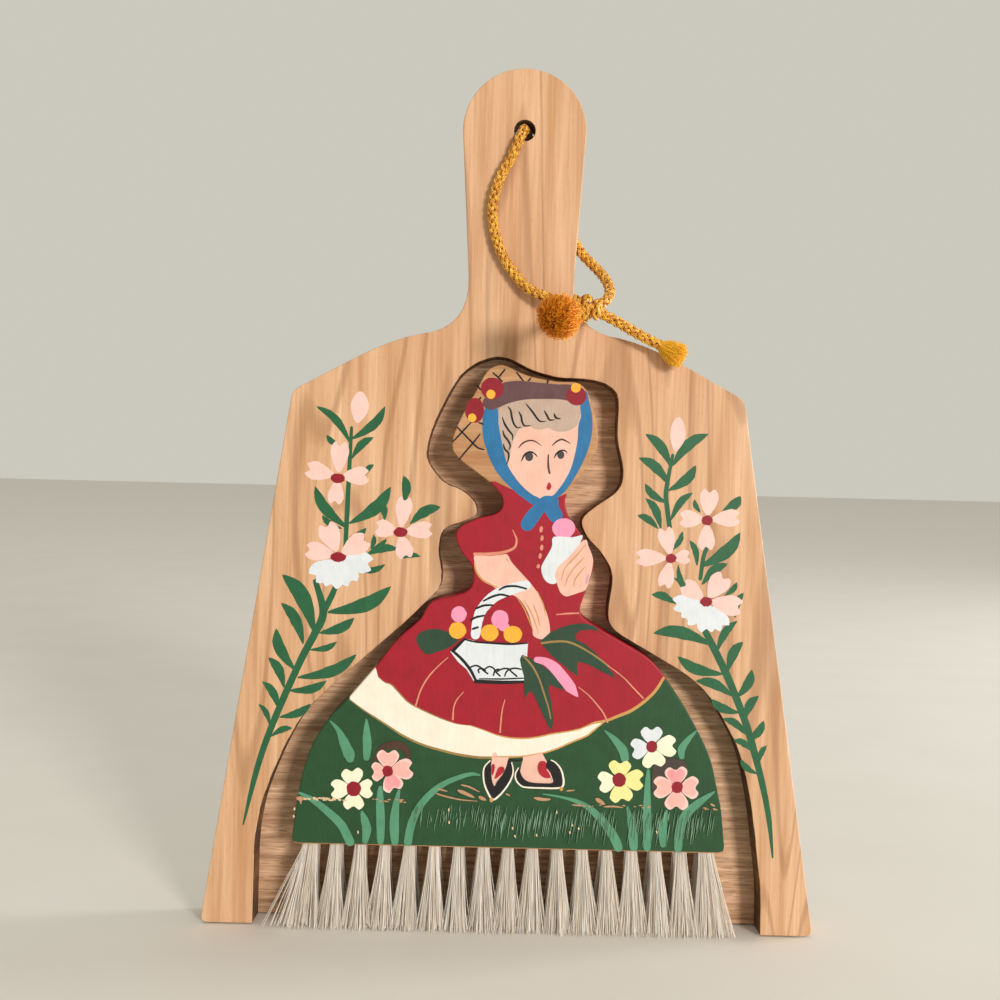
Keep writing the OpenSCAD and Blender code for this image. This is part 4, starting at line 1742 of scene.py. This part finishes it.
        for bar in (
            [(-4.4, -137.4), (-2.5, -136.4), (0.5, -136.2), (3.6, -136.9)],
            [(-9, -140.8), (-6.5, -139.5), (-4, -138.8), (-1.6, -139.2)],
            [(-11.3, -143.2), (-9, -142.2), (-6.3, -142)], [(-12.7, -146.6), (-11, -145.7), (-8.8, -145.2)],
            [(-12.2, -149.3), (-10.5, -148.7)],
        ):
            p.stroke(Paint.BLACK, bar, [0.5, 0.7, 0.65, 0.55])
        for x, z, wide, tall in ((-16.3, -145, 4.6, 4.8), (-4, -146.2, 5.1, 5.6), (-2.8, -148.4, 3.4, 2.8)):
            p.fill(Paint.CANDY, oval((x, z), wide, tall, 0, 26), 0.08)
        p.next_coat()
        for x, z, wide, tall in ((-16.6, -149.8, 5.2, 5.0), (-7, -150.3, 5.3, 5.0), (-0.1, -150.6, 5.6, 5.1)):
            p.fill(Paint.YELLOW, oval((x, z), wide, tall, 0, 26), 0.08)
        p.next_coat()
        body = [
            (-18.6, -156.2), (-14.3, -152.2), (-10, -153), (-5, -153.3), (0, -153.3), (4.5, -152.9), (4.3, -158),
            (3.6, -164.8), (-11.2, -165.2), (-13.6, -161.4), (-16.2, -159.2),
        ]
        p.fill(Paint.WHITE, body)
        p.next_coat()
        p.stroke(Paint.BLACK, [
            (-14.4, -152.4), (-11, -153.1), (-5, -153.4), (0, -153.5), (4.3, -153.1)
        ], [0.5, 0.6, 0.7, 0.4])
        p.stroke(Paint.BLACK, [(-14.4, -152.4), (-16, -154), (-17.9, -156)], [0.6, 0.9, 1.0])
        p.stroke(Paint.BLACK, [(-17.9, -155.9), (-15, -158.5), (-12.5, -161.5), (-10.6, -165)], [0.8, 0.9, 0.9, 0.8])
        p.stroke(Paint.BLACK, [(-10.8, -164.9), (-3, -165), (3.7, -164.7)], [1.2, 1.1, 0.8])
        p.stroke(Paint.BLACK, [(-9.8, -164.1), (-3, -164), (3.5, -163.6)], [0.3, 0.5, 0.4])
        for curl in (
            [(-12.8, -160.9), (-11.2, -160.2), (-9.8, -160.5), (-8.6, -161.6), (-7.3, -162.5)],
            [(-9.9, -162.3), (-10.1, -161.4), (-9, -161), (-8, -161.6)],
            [(-8.2, -161.2), (-6.9, -160.4), (-5.6, -160.9), (-4.8, -162), (-3.6, -163.1)],
            [(-5.6, -163), (-5.1, -161.6), (-4.1, -161.1)],
            [(-4.6, -161.9), (-3, -161), (-1.2, -160.9), (-0.2, -161.8), (1.4, -163.1)],
            [(-2.2, -163.1), (-1.7, -161.8), (-0.6, -161), (1, -160.7), (2.6, -161)],
        ):
            p.stroke(Paint.BLACK, curl, [0.45, 0.55, 0.5])
        p.fill(Paint.DEEP_LEAF, lower)
        p.next_coat()
        p.stroke(Paint.OCHRE, [
            (8.6, -153), (12, -152.5), (16, -152.4), (20, -153.8), (25, -156.7), (28.8, -159.5)
        ], [0.7, 0.6, 0.5])
        p.stroke(Paint.OCHRE, [
            (3.2, -156.9), (6, -160), (8.2, -164), (9.8, -168.5), (11, -172), (11.8, -175.5)
        ], [0.6, 0.5, 0.4])
        p.stroke(Paint.CANDY, [
            (7.2, -158), (9.8, -158.5), (12.5, -160.2), (15.2, -163.2), (17.6, -166.2), (19.8, -168.8)
        ], [1.7, 2.4, 3.2, 3.4, 3.3, 0.2])

    def _folds(self) -> None:
        """Draws the gold folds of the skirt."""
        for line in (
            [(-19.3, -158), (-22, -160.5), (-25, -164), (-27.2, -168), (-28.6, -172.8)],
            [(-14.4, -168.2), (-16.3, -170.5), (-17.2, -173), (-17.4, -176.5)],
            [(-2, -170.2), (-2.8, -174), (-3.2, -180)],
            [(20, -166), (23, -168.3), (25.5, -171), (27.5, -173.5), (28.8, -176.2)],
            [(28.5, -159.3), (33, -162.5), (36.5, -166), (39.2, -168.7)],
        ):
            self.brush.stroke(Paint.FOLD, line, [0.25, 0.45, 0.5])

    def _blades(self) -> None:
        """Paints the blades of grass, fine at the tip and full at the foot."""
        p = self.brush
        for line, widths in (
            ([
                (-54, -177.8), (-51.5, -180.5), (-49.8, -184), (-48.2, -187.5), (-47.8, -189)
            ], [0.3, 1.4, 2.8, 3.4, 2.4]),
            ([(-43.2, -177), (-43, -181), (-42.8, -185), (-42.9, -188.6)], [0.3, 1.8, 2.6, 2.6, 1.8]),
            ([
                (-62.8, -199.6), (-59, -201.5), (-54.5, -204.8), (-50, -209), (-47.3, -214)
            ], [0.6, 1.6, 2.2, 2.6, 2.6]),
            ([(-44, -204.8), (-43.2, -207), (-42.4, -210), (-42.8, -213.6)], [0.6, 2.2, 2.8, 1.8]),
            ([(-38.6, -197.5), (-38.6, -202), (-38.3, -207), (-38.2, -213.6)], [1.2, 2.2, 2.5, 2.6, 2.0]),
            ([(-33, -198.3), (-33.9, -203), (-34.2, -208), (-33.9, -213.6)], [0.8, 1.8, 2.6, 2.9, 2.2]),
            ([
                (-30, -213.6), (-29, -208), (-26.5, -202.5), (-22.5, -198), (-18, -195), (-12, -192.8), (-9, -193)
            ], [2.5, 2.4, 2.1, 1.9, 1.6, 1.2, 0.4]),
            ([(28, -178.7), (31, -181.3), (33.5, -184.3), (34.3, -187)], [0.3, 1.8, 2.8, 2.4]),
            ([(55.6, -178), (53, -180.8), (51.2, -183.6), (51.2, -186)], [0.3, 1.6, 2.3, 1.6]),
            ([(41.3, -190.5), (41.2, -198), (41.4, -206), (41.6, -213.6)], [1.0, 1.8, 2.4, 2.6, 2.2]),
            ([(35.4, -201.6), (36.6, -206), (37.3, -210), (37.6, -213.6)], [0.6, 2.2, 2.8, 2.4]),
            ([
                (10, -198.2), (17, -199.3), (23, -201.5), (28, -205.8), (31.5, -210.5), (33, -213.8)
            ], [0.3, 0.8, 1.6, 2.4, 2.8, 2.6]),
            ([(47.2, -202.4), (46.4, -206), (46.2, -210), (46.4, -212.6)], [0.6, 2.0, 2.5, 1.8]),
            ([(61.3, -196.3), (57, -199.5), (53, -203.3), (51.2, -208), (50.9, -213.6)], [0.4, 2.2, 2.8, 2.6, 2.4]),
        ):
            p.fill(Paint.BLADE, ribbon(line, widths, 5), 0.03, strip=True)
        p.stroke(Paint.BARK, [
            (-40.6, -189.5), (-38.6, -186), (-35, -184.5), (-31.6, -185.4), (-30.2, -188)
        ], [0.8, 2.2, 2.4, 1.2])
        p.fill(Paint.STONE, blob([
            (42.6, -190), (44.5, -187.6), (48.5, -186.6), (52.8, -188), (51, -191), (46.5, -191.5), (44.3, -195),
            (42.8, -196.5),
        ]))

    def _flowers(self) -> None:
        """Paints the five hill flowers: a heart-shaped petal each way, then the red heart."""
        p = self.brush
        white, cream, blush, pink, lemon = Paint.WHITE, Paint.IVORY, Paint.BLUSH, Paint.PINK, Paint.LEMON
        flowers = (
            (
                (-46.5, -198), 4.4, ((-47.3, -192), 6.5, cream), ((-53.2, -198.3), 5.9, cream),
                ((-41, -197.8), 5.7, cream), ((-46.5, -204.1), 6.2, cream),
            ),
            (
                (-36.5, -192.4), 3.2, ((-36.5, -186.2), 6.7, blush), ((-29.2, -191.4), 6.3, blush),
                ((-34.2, -198.2), 6.3, pink), ((-41.2, -192.8), 5.7, blush),
            ),
            (
                (42.2, -183.2), 3.4, ((42, -177.4), 6.5, white), ((49.3, -182.8), 6.5, cream),
                ((43.2, -189.3), 7.0, cream), ((36.2, -184.3), 6.2, white),
            ),
            (
                (32.7, -193.4), 4.1, ((32.9, -187.7), 6.7, lemon), ((39.8, -193.3), 6.3, lemon),
                ((33.8, -199.9), 6.9, lemon), ((26.7, -194.5), 6.4, cream),
            ),
            (
                (50.1, -195.2), 3.4, ((49.5, -189.2), 6.8, pink), ((56.4, -195.2), 6.8, blush),
                ((50, -201.9), 7.1, blush), ((43.2, -195.4), 6.6, blush),
            ),
        )
        for heart, _, *petals in flowers:
            for tip, width, paint in petals:
                p.fill(blush if paint is pink else paint, petal(heart, tip, width, 0.14), 0.05)
        p.next_coat()
        for heart, _, *petals in flowers[1::3]:
            for tip, width, paint in petals:
                inner = (heart[0] + (tip[0] - heart[0]) * 0.9, heart[1] + (tip[1] - heart[1]) * 0.9)
                p.fill(Paint.CORAL if paint is blush else pink, petal(heart, inner, width * 0.76, 0.12), 0.05)
        p.next_coat()
        for heart, wide, *_ in flowers:
            p.fill(Paint.ROSE, oval(heart, wide, wide * 1.04, 0, 22), 0.08)

    def _shoes(self) -> None:
        """Paints the black shoes, their pale welts and the red tongues."""
        p = self.brush
        p.fill(Paint.LIPS, blob([
            (-4.9, -189.6), (-4.5, -190.2), (-4.7, -191.8), (-5.2, -193), (-5.5, -191), (-5.3, -189.9)
        ], 3))
        p.fill(Paint.LIPS, blob([
            (-1.6, -191.2), (-2, -190.4), (-3.2, -190.5), (-3.8, -191.6), (-4.4, -194), (-3, -193), (-1.9, -192)
        ], 3))
        tongue = [
            (9.2, -188.4), (10.6, -188.6), (10.8, -190), (11.2, -191), (11.9, -191.3), (12.1, -193.2),
            (10.5, -193.3), (9, -192.3), (8.4, -190.8), (8.5, -189.3),
        ]
        p.fill(Paint.LIPS, blob(tongue, 3))
        p.next_coat()
        left = [
            (-6, -188.6), (-7.5, -190.3), (-7.9, -192.5), (-7.5, -195.6), (-6.4, -198.2), (-4.9, -200.2),
            (-3, -199), (-0.9, -196.4), (0.6, -193.6), (1, -191.3), (0.5, -189), (-0.2, -188.1), (-0.7, -189.5),
            (-1.1, -191.5), (-2.5, -193.2), (-3.8, -195), (-4.4, -196.3), (-5.2, -194.8), (-5.6, -192),
            (-5.7, -189.5),
        ]
        right = [
            (2.5, -190.6), (1.7, -192.3), (1.9, -194.1), (3.2, -195.7), (5, -196.3), (10, -196.4), (14.5, -196.3),
            (16, -195.5), (16, -193), (15.1, -190.4), (13.5, -188.6), (12.2, -188), (11.1, -188.6), (10.7, -190.2),
            (11.7, -191), (12.1, -193), (13, -194.8), (9, -195), (5.8, -194.7), (4, -193.5), (3.1, -191.8),
        ]
        p.fill(Paint.BLACK, blob(left, 3))
        p.fill(Paint.BLACK, blob(right, 3))
        p.stroke(Paint.BLACK, [(-0.2, -188.2), (2, -188.4), (3.7, -188.1)], [0.5, 0.45, 0.4])
        p.next_coat()
        p.stroke(Paint.CREAM, left[:11], [0.35, 0.45, 0.5, 0.6, 0.5, 0.45, 0.3])
        p.stroke(Paint.CREAM, right[:12], [0.35, 0.45, 0.45, 0.5, 0.6, 0.45, 0.3])
        p.fill(Paint.GOLD, oval((15.5, -196.5), 1.2, 1.3, 0, 14), 0.05)
        p.fill(Paint.GOLD, oval((-5.3, -200.3), 1.2, 1.5, 0, 14), 0.05)
        p.stroke(Paint.SKIN, [(11.1, -190.8), (12, -192), (12.9, -194.2)], [0.2, 0.35, 0.3])

    def _wear(self) -> None:
        """Lets bare wood show in chips and rubbed streaks, and scratches the green of the stock."""
        p = self.brush
        hand = random.Random(41)
        for _ in range(self.chips):
            x = -63 + 15 * hand.random() ** 1.2
            size = hand.uniform(0.3, 1.0)
            p.fill(Paint.CHIP, oval(
                (x, -201.2 + hand.uniform(-0.4, 0.35)), size, size * 0.6, hand.uniform(-25, 25), 7
            ), 0.08)
        for _ in range(self.rubs):
            x = hand.choice((hand.uniform(-42, -30), hand.uniform(19, 43), hand.uniform(58, 62)))
            p.fill(Paint.BARE, oval((x, -201.3 + hand.uniform(-0.4, 0.4)), hand.uniform(0.4, 1.6), 0.35, 0, 7), 0.06)
        for points, width in (
            ([(-15.3, -197.7), (-13, -198.6), (-10.5, -199.7)], 1.0),
            ([(-14.5, -196), (-12, -196.6), (-9, -198)], 0.5), ([(-9, -199.5), (-7, -200.4)], 1.0),
            ([(-21.5, -197.3), (-18.5, -198.1)], 0.45),
            ([(-21.8, -198.7), (-20.2, -199.3), (-15, -200.4), (-9.5, -200.8)], 0.4),
            ([(7.5, -199.4), (10, -199.8), (12.3, -199.7)], 0.9), ([(-1, -198.4), (0.2, -198.9)], 0.5),
            ([(17, -197.1), (19.5, -196.8)], 0.4), ([(26, -199.3), (27.2, -200), (28.5, -200.8)], 1.2),
            ([(28.4, -201.6), (31, -201.4), (34, -201.7)], 0.5), ([(60.2, -200), (61.5, -200.6)], 0.6),
            ([(18.8, -201.2), (22.5, -201.5)], 0.4), ([(-63.4, -201.2), (-61.4, -201.4)], 1.2),
            ([(-62.4, -201.4), (-62.2, -202.9)], 0.6),
        ):
            p.line(Paint.BARE, points, width)
        for _ in range(self.scratches):
            x, z = hand.uniform(-29, 61.5), hand.uniform(-206.5, -201.7)
            length = hand.uniform(2.4, 7.6) * (0.6 if x < -8 else 1.0)
            if not 33 < x < 36:
                end = (x - 0.13 * length, max(z - length, -213.5))
                p.stroke(Paint.SCRATCH, [(x, z), end], [0.05, hand.uniform(0.1, 0.2), 0.05])
        for x, z in (
            (-64.1, -204.4), (-64.3, -206.6), (-18, -203.6), (-17.8, -207.3), (1.2, -208.6), (2, -211),
            (19, -207.2), (18.4, -209.5), (21, -208.3), (-45, -211), (8.5, -210.5), (14.3, -203.5), (44.3, -208.8),
        ):
            p.fill(Paint.CHIP, oval((x, z), 0.5, 0.9, 15, 7), 0.08)


# ---------------------------------------------------------------- the painted sprays


@dataclass
class SprayPainting:
    """The two flowering sprays on the pan's board."""

    finishes: Finishes
    front_mm: float = 0.0

    def build(self) -> None:
        """Paints the stems and leaves first, then the petals, then the hearts."""
        self.brush = Painter("pan", self.front_mm, "painted_figure", self.finishes, 8)
        self._left_leaves()
        self._right_leaves()
        self.brush.next_coat()
        self._left_flowers()
        self._right_flowers()
        self.brush.next_coat()
        for heart, wide, tall in (
            ((-53.8, -105.3), 4.3, 3.0), ((-34.6, -121.1), 4.2, 3.0), ((-53.2, -129.1), 4.8, 3.0),
            ((57.7, -115.4), 3.3, 3.0), ((47.1, -127.1), 3.4, 2.7), ((58, -139.9), 3.8, 2.9),
        ):
            self.brush.fill(Paint.ROSE, oval(heart, wide, tall, 0, 18), 0.12)
        pieces = self.brush.finish()
        log.info("spray painting: %d colours", len(pieces))

    def _leaves(self, leaves: Sequence[Tuple[Flat, Flat, float]]) -> None:
        """Paints leaves, each from its base to its tip."""
        for base, tip, width in leaves:
            bend = 0.1 if self.brush.hand.random() > 0.5 else -0.1
            self.brush.fill(Paint.LEAF, leaf(base, tip, width, bend), 0.06, True)

    def _left_leaves(self) -> None:
        """Paints the left spray's green."""
        self.brush.stroke(Paint.LEAF, [(-50, -90), (-50.4, -101.6), (-50.8, -115), (-51.1, -126)], [0.9, 1.3, 1.5, 1.3])
        self.brush.stroke(Paint.LEAF, [
            (-59.9, -136.6), (-57.4, -145.8), (-59.9, -152.5), (-63.3, -159.2), (-66.2, -165.8), (-68.7, -171.7),
            (-72, -180), (-74.9, -188.3), (-77.4, -197.5), (-80.3, -210.8),
        ], [1.6, 2.4, 2.3, 2.2, 2.1, 2.1, 2.0, 1.9, 1.7, 0.5])
        self.brush.stroke(Paint.LEAF, [(-52.7, -134.4), (-54.6, -140), (-57, -145)], [1.2, 1.8, 2.0])
        self._leaves([
            ((-50.2, -94.8), (-60.6, -83.9), 2.5), ((-49.9, -93.4), (-40.1, -83.5), 3.0),
            ((-53.4, -95.6), (-57.4, -92.4), 1.8), ((-49.7, -99.2), (-43.4, -92.8), 2.5),
            ((-46.2, -104.8), (-43.1, -101), 1.8), ((-50.9, -120), (-60.6, -108), 3.5),
            ((-49.9, -118.7), (-37.9, -107.6), 4.0), ((-52.4, -120.4), (-58.3, -116.6), 2.0),
            ((-33.8, -112.3), (-34.1, -104.1), 2.8), ((-39.5, -117.4), (-40.9, -112.2), 2.3),
            ((-31.6, -118.4), (-22.8, -113.3), 3.3), ((-49.9, -122.9), (-44.9, -120.1), 1.8),
            ((-43.4, -126.4), (-42.7, -122.1), 1.6), ((-43.4, -126.4), (-38.8, -123.2), 1.6),
            ((-44.7, -128.1), (-35.2, -126.3), 2.5), ((-34.4, -129), (-28.4, -128.3), 1.6),
            ((-47.7, -133), (-39.1, -131.0), 2.0), ((-60.1, -151.7), (-69.9, -134.8), 5.0),
            ((-63.3, -155.4), (-70.1, -143.4), 3.5), ((-65.8, -163.3), (-71.5, -151.1), 3.6),
            ((-68.8, -168.8), (-73.6, -160.0), 3.0), ((-70.2, -175.4), (-75.3, -167.3), 2.6),
            ((-72.8, -180.4), (-76.3, -174.2), 1.8), ((-55.8, -145.8), (-37.2, -137.6), 4.5),
            ((-58.3, -152.1), (-48.1, -147.4), 3.2), ((-61, -157.3), (-53.1, -154.7), 2.0),
            ((-64.5, -165.8), (-47.2, -158.4), 3.6), ((-67, -169.8), (-56, -166.6), 2.8),
            ((-69.9, -177.9), (-60.6, -173.7), 2.6), ((-72.4, -183.8), (-66.1, -181.2), 2.0),
        ])

    def _right_leaves(self) -> None:
        """Paints the right spray's green."""
        self.brush.stroke(Paint.LEAF, [(46.8, -96), (45.1, -106.6), (45.6, -112.3), (46.8, -120)], [0.9, 1.4, 1.5, 1.3])
        self.brush.stroke(Paint.LEAF, [(58.6, -122.3), (57, -126), (56.1, -133)], [1.0, 1.3, 1.2])
        self.brush.stroke(Paint.LEAF, [
            (56, -145.4), (60.2, -152.9), (64.3, -160.8), (67.7, -168.3), (71.4, -177.5), (74.3, -186.7),
            (76.8, -195.8), (78.9, -205.8), (80.3, -217.1),
        ], [1.6, 2.2, 2.3, 2.2, 2.2, 2.1, 1.9, 1.6, 0.5])
        self._leaves([
            ((46.3, -99.4), (38.5, -89.9), 3.2), ((45.9, -104.8), (36.7, -97.1), 3.2),
            ((45.1, -110.3), (38.7, -104.8), 2.4), ((43.8, -118.2), (39.1, -109.2), 2.6),
            ((42.9, -118.2), (36.7, -114.4), 2.3), ((46.8, -99.1), (57.3, -89.4), 3.4),
            ((45.9, -106.6), (53.8, -99.0), 3.2), ((46.8, -115.5), (53.1, -107.2), 2.4),
            ((62.3, -112.5), (67.5, -107.9), 3.2), ((55.6, -113), (53.7, -109.2), 1.6),
            ((56.1, -129.3), (67.7, -118.9), 4.0), ((55, -129), (52.5, -121.5), 2.0),
            ((47.1, -124.8), (50.3, -118.9), 1.8), ((49.3, -129.1), (52.3, -136.8), 2.0),
            ((48.2, -133), (52.2, -137), 1.6), ((56.8, -134.6), (64.1, -128.4), 3.0),
            ((63.7, -137.9), (67.1, -133.9), 1.8), ((66.8, -144.4), (69.2, -137.1), 2.4),
            ((48.8, -140.7), (41.6, -138.2), 2.6), ((61.8, -154.8), (67.5, -145.6), 2.6),
            ((65.2, -160.6), (69.4, -151.9), 3.2), ((68.3, -168.5), (72.4, -160.2), 3.0),
            ((70.6, -175.2), (74.6, -168.1), 2.8), ((71.8, -181.9), (76.4, -175.6), 2.6),
            ((75.3, -188.5), (77.5, -183.1), 1.8), ((59.8, -152.9), (42.5, -149.8), 4.0),
            ((63.5, -161.7), (50, -156.7), 3.5), ((66.8, -168.3), (55.6, -164), 3.2),
            ((68.9, -173.3), (60.4, -169.4), 2.8), ((71.4, -180), (64.1, -175.2), 2.4),
            ((73.5, -185), (67.5, -181.6), 2.2), ((74.8, -191.7), (69.8, -187.5), 2.0),
        ])

    def _petals(self, paint: Paint, heart: Flat, petals: Sequence[Tuple[Flat, float]]) -> None:
        """Paints petals round a heart, each by the middle of its end and its width."""
        for tip, width in petals:
            self.brush.fill(paint, petal(heart, tip, width, 0.1), 0.08)

    def _bud(self, middle: Flat, wide: float, tall: float) -> None:
        """Paints a closed bud, pointed at its foot."""
        x, z = middle
        self.brush.fill(Paint.BLUSH, blob([
            (x - 0.1 * wide, z - tall / 2), (x - 0.42 * wide, z - 0.18 * tall), (x - 0.46 * wide, z + 0.15 * tall),
            (x - 0.18 * wide, z + 0.48 * tall), (x + 0.18 * wide, z + 0.5 * tall),
            (x + 0.48 * wide, z + 0.14 * tall), (x + 0.38 * wide, z - 0.2 * tall),
        ]), 0.05)

    def _left_flowers(self) -> None:
        """Paints the left spray's bud and three flowers."""
        self._bud((-47.7, -84), 5.6, 9.2)
        self._petals(Paint.BLUSH, (-53.7, -104.8), [
            ((-53.3, -94.5), 5.6), ((-63.2, -102.6), 5.6), ((-44.7, -104.3), 5.6), ((-54.6, -112.9), 4.9)
        ])
        self._petals(Paint.BLUSH, (-34.6, -121), [
            ((-33.4, -110.6), 5.0), ((-42, -119.8), 5.4), ((-25.3, -120), 5.2), ((-32.8, -128.8), 5.4)
        ])
        self._petals(Paint.WHITE, (-53.2, -129.4), [
            ((-60.6, -135.4), 6.6), ((-55.2, -138.2), 6.4), ((-48.8, -136.8), 6.2), ((-43.2, -131), 6.4)
        ])
        self._petals(
            Paint.BLUSH, (-53.2, -128.6), [((-57.2, -119.2), 6.4), ((-62.8, -127), 5.6), ((-44.8, -123.4), 6.4)]
        )

    def _right_flowers(self) -> None:
        """Paints the right spray's bud and three flowers."""
        self._bud((48.1, -89.9), 4.9, 10.0)
        self._petals(Paint.BLUSH, (57.7, -115.2), [
            ((58.2, -106.1), 5.8), ((49.5, -115), 5.4), ((67.2, -114.2), 5.2), ((57.6, -124.2), 5.2)
        ])
        self._petals(Paint.BLUSH, (47.1, -127), [
            ((44.9, -118), 5.2), ((36.8, -127), 5.2), ((52.6, -126.4), 4.4), ((45.2, -135.8), 4.8)
        ])
        self._petals(Paint.WHITE, (58, -140.2), [
            ((48.2, -140.8), 5.4), ((51.8, -145.8), 5.8), ((58.4, -149), 5.8), ((63.8, -147.6), 5.6)
        ])
        self._petals(Paint.BLUSH, (58, -139.6), [((63.4, -132), 6.4), ((51, -134.8), 5.4), ((68.6, -141.4), 6.2)])


# ---------------------------------------------------------------- studio


@dataclass
class Studio:
    """The camera, the window light, the low side light and the floor."""

    eye_mm: Spot = (-4.5, -334.4, -104.0)
    lens_mm: float = 39.98
    pitch_deg: float = 1.15
    yaw_deg: float = 0.06
    roll_deg: float = 1.35
    floor_z_mm: float = -241.4
    floor_reach: float = 12.0
    sky: Flat = (0.2, 1.14)
    sky_seen: float = 0.9

    def place_camera(self) -> None:
        """Sets the camera where the set is seen from the front, a little below its middle height."""
        lens = bpy.data.cameras.new("camera")
        lens.lens = self.lens_mm
        lens.sensor_width = 36.0
        lens.clip_start = 0.01
        camera = bpy.data.objects.new("camera", lens)
        bpy.context.scene.collection.objects.link(camera)
        turn = (
            Matrix.Rotation(math.radians(self.yaw_deg), 4, "Z")
            @ Matrix.Rotation(math.radians(90 - self.pitch_deg), 4, "X")
            @ Matrix.Rotation(math.radians(self.roll_deg), 4, "Z")
        )
        camera.matrix_world = Matrix.Translation(Vector(self.eye_mm) * MM) @ turn
        bpy.context.scene.camera = camera

    def light(self) -> None:
        """Hangs the window light on the right and a low side light on the right, a little behind the board, under a
        pale sky.
        """
        self._area("window", (2.46, -4.03, 0.85), (0.0, 0.0, -0.12), 1.0, 170.0, "#fff8f4")
        self._area("side_window", (1.40, 0.30, -0.04), (0.0, 0.0, -0.10), 0.3, 18.0, "#ffffff")
        world = bpy.data.worlds.new("studio_air")
        world.use_nodes = True
        tree = world.node_tree
        tree.nodes.clear()
        seen = add_node(tree, "ShaderNodeLightPath").outputs["Is Camera Ray"]
        way = add_node(tree, "ShaderNodeTexCoord").outputs["Generated"]
        height = add_node(tree, "ShaderNodeSeparateXYZ", inputs={0: way}).outputs["Z"]
        low, high = self.sky
        power = add_node(tree, "ShaderNodeMapRange", inputs={"Value": height, 3: low, 4: high}).outputs[0]
        air = add_node(tree, "ShaderNodeBackground", inputs={"Color": linear("#d9d6cc"), "Strength": power})
        wall = add_node(tree, "ShaderNodeBackground", inputs={"Color": linear("#d5d2c6"), "Strength": self.sky_seen})
        both = add_node(tree, "ShaderNodeMixShader", inputs={0: seen, 1: air.outputs[0], 2: wall.outputs[0]})
        add_node(tree, "ShaderNodeOutputWorld", inputs={"Surface": both.outputs[0]})
        bpy.context.scene.world = world
        bpy.context.scene.view_settings.view_transform = "Standard"

    def _area(self, name: str, place: Spot, target: Spot, size: float, watts: float, colour: str) -> None:
        """Hangs one square light that faces a target."""
        lamp = bpy.data.lights.new(name, "AREA")
        lamp.shape = "SQUARE"
        lamp.size = size
        lamp.energy = watts
        lamp.color = linear(colour)[:3]
        obj = bpy.data.objects.new(name, lamp)
        bpy.context.scene.collection.objects.link(obj)
        away = Vector(target) - Vector(place)
        obj.matrix_world = Matrix.Translation(Vector(place)) @ away.to_track_quat("-Z", "Y").to_matrix().to_4x4()

    def lay_floor(self) -> None:
        """Lays the pale floor."""
        bm = bmesh.new()
        reach, z = self.floor_reach, self.floor_z_mm * MM
        corners = ((-reach, -reach), (reach, -reach), (reach, reach), (-reach, reach))
        bm.faces.new([bm.verts.new((x, y, z)) for x, y in corners])
        floor = to_object(bm, "studio_floor", [Plaster("studio_plaster", "#ebe8e0", "#b9b2a6").build()])


# ---------------------------------------------------------------- making the set


def write_sizes() -> None:
    """Brings the scene's transforms up to date."""
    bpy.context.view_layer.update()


def main() -> None:
    """Builds the set in order, the camera and the cord first."""
    logging.basicConfig(level=logging.INFO, format="%(message)s")
    finishes = Finishes()
    studio = Studio()
    studio.place_camera()
    fibres = FibreTree()
    HangingCord(finishes, fibres).build()
    CrumbPan(finishes).build()
    FigureBrush(finishes, fibres).build()
    FigurePainting(finishes).build()
    SprayPainting(finishes).build()
    studio.light()
    studio.lay_floor()
    write_sizes()


if __name__ == "__main__":
    main()
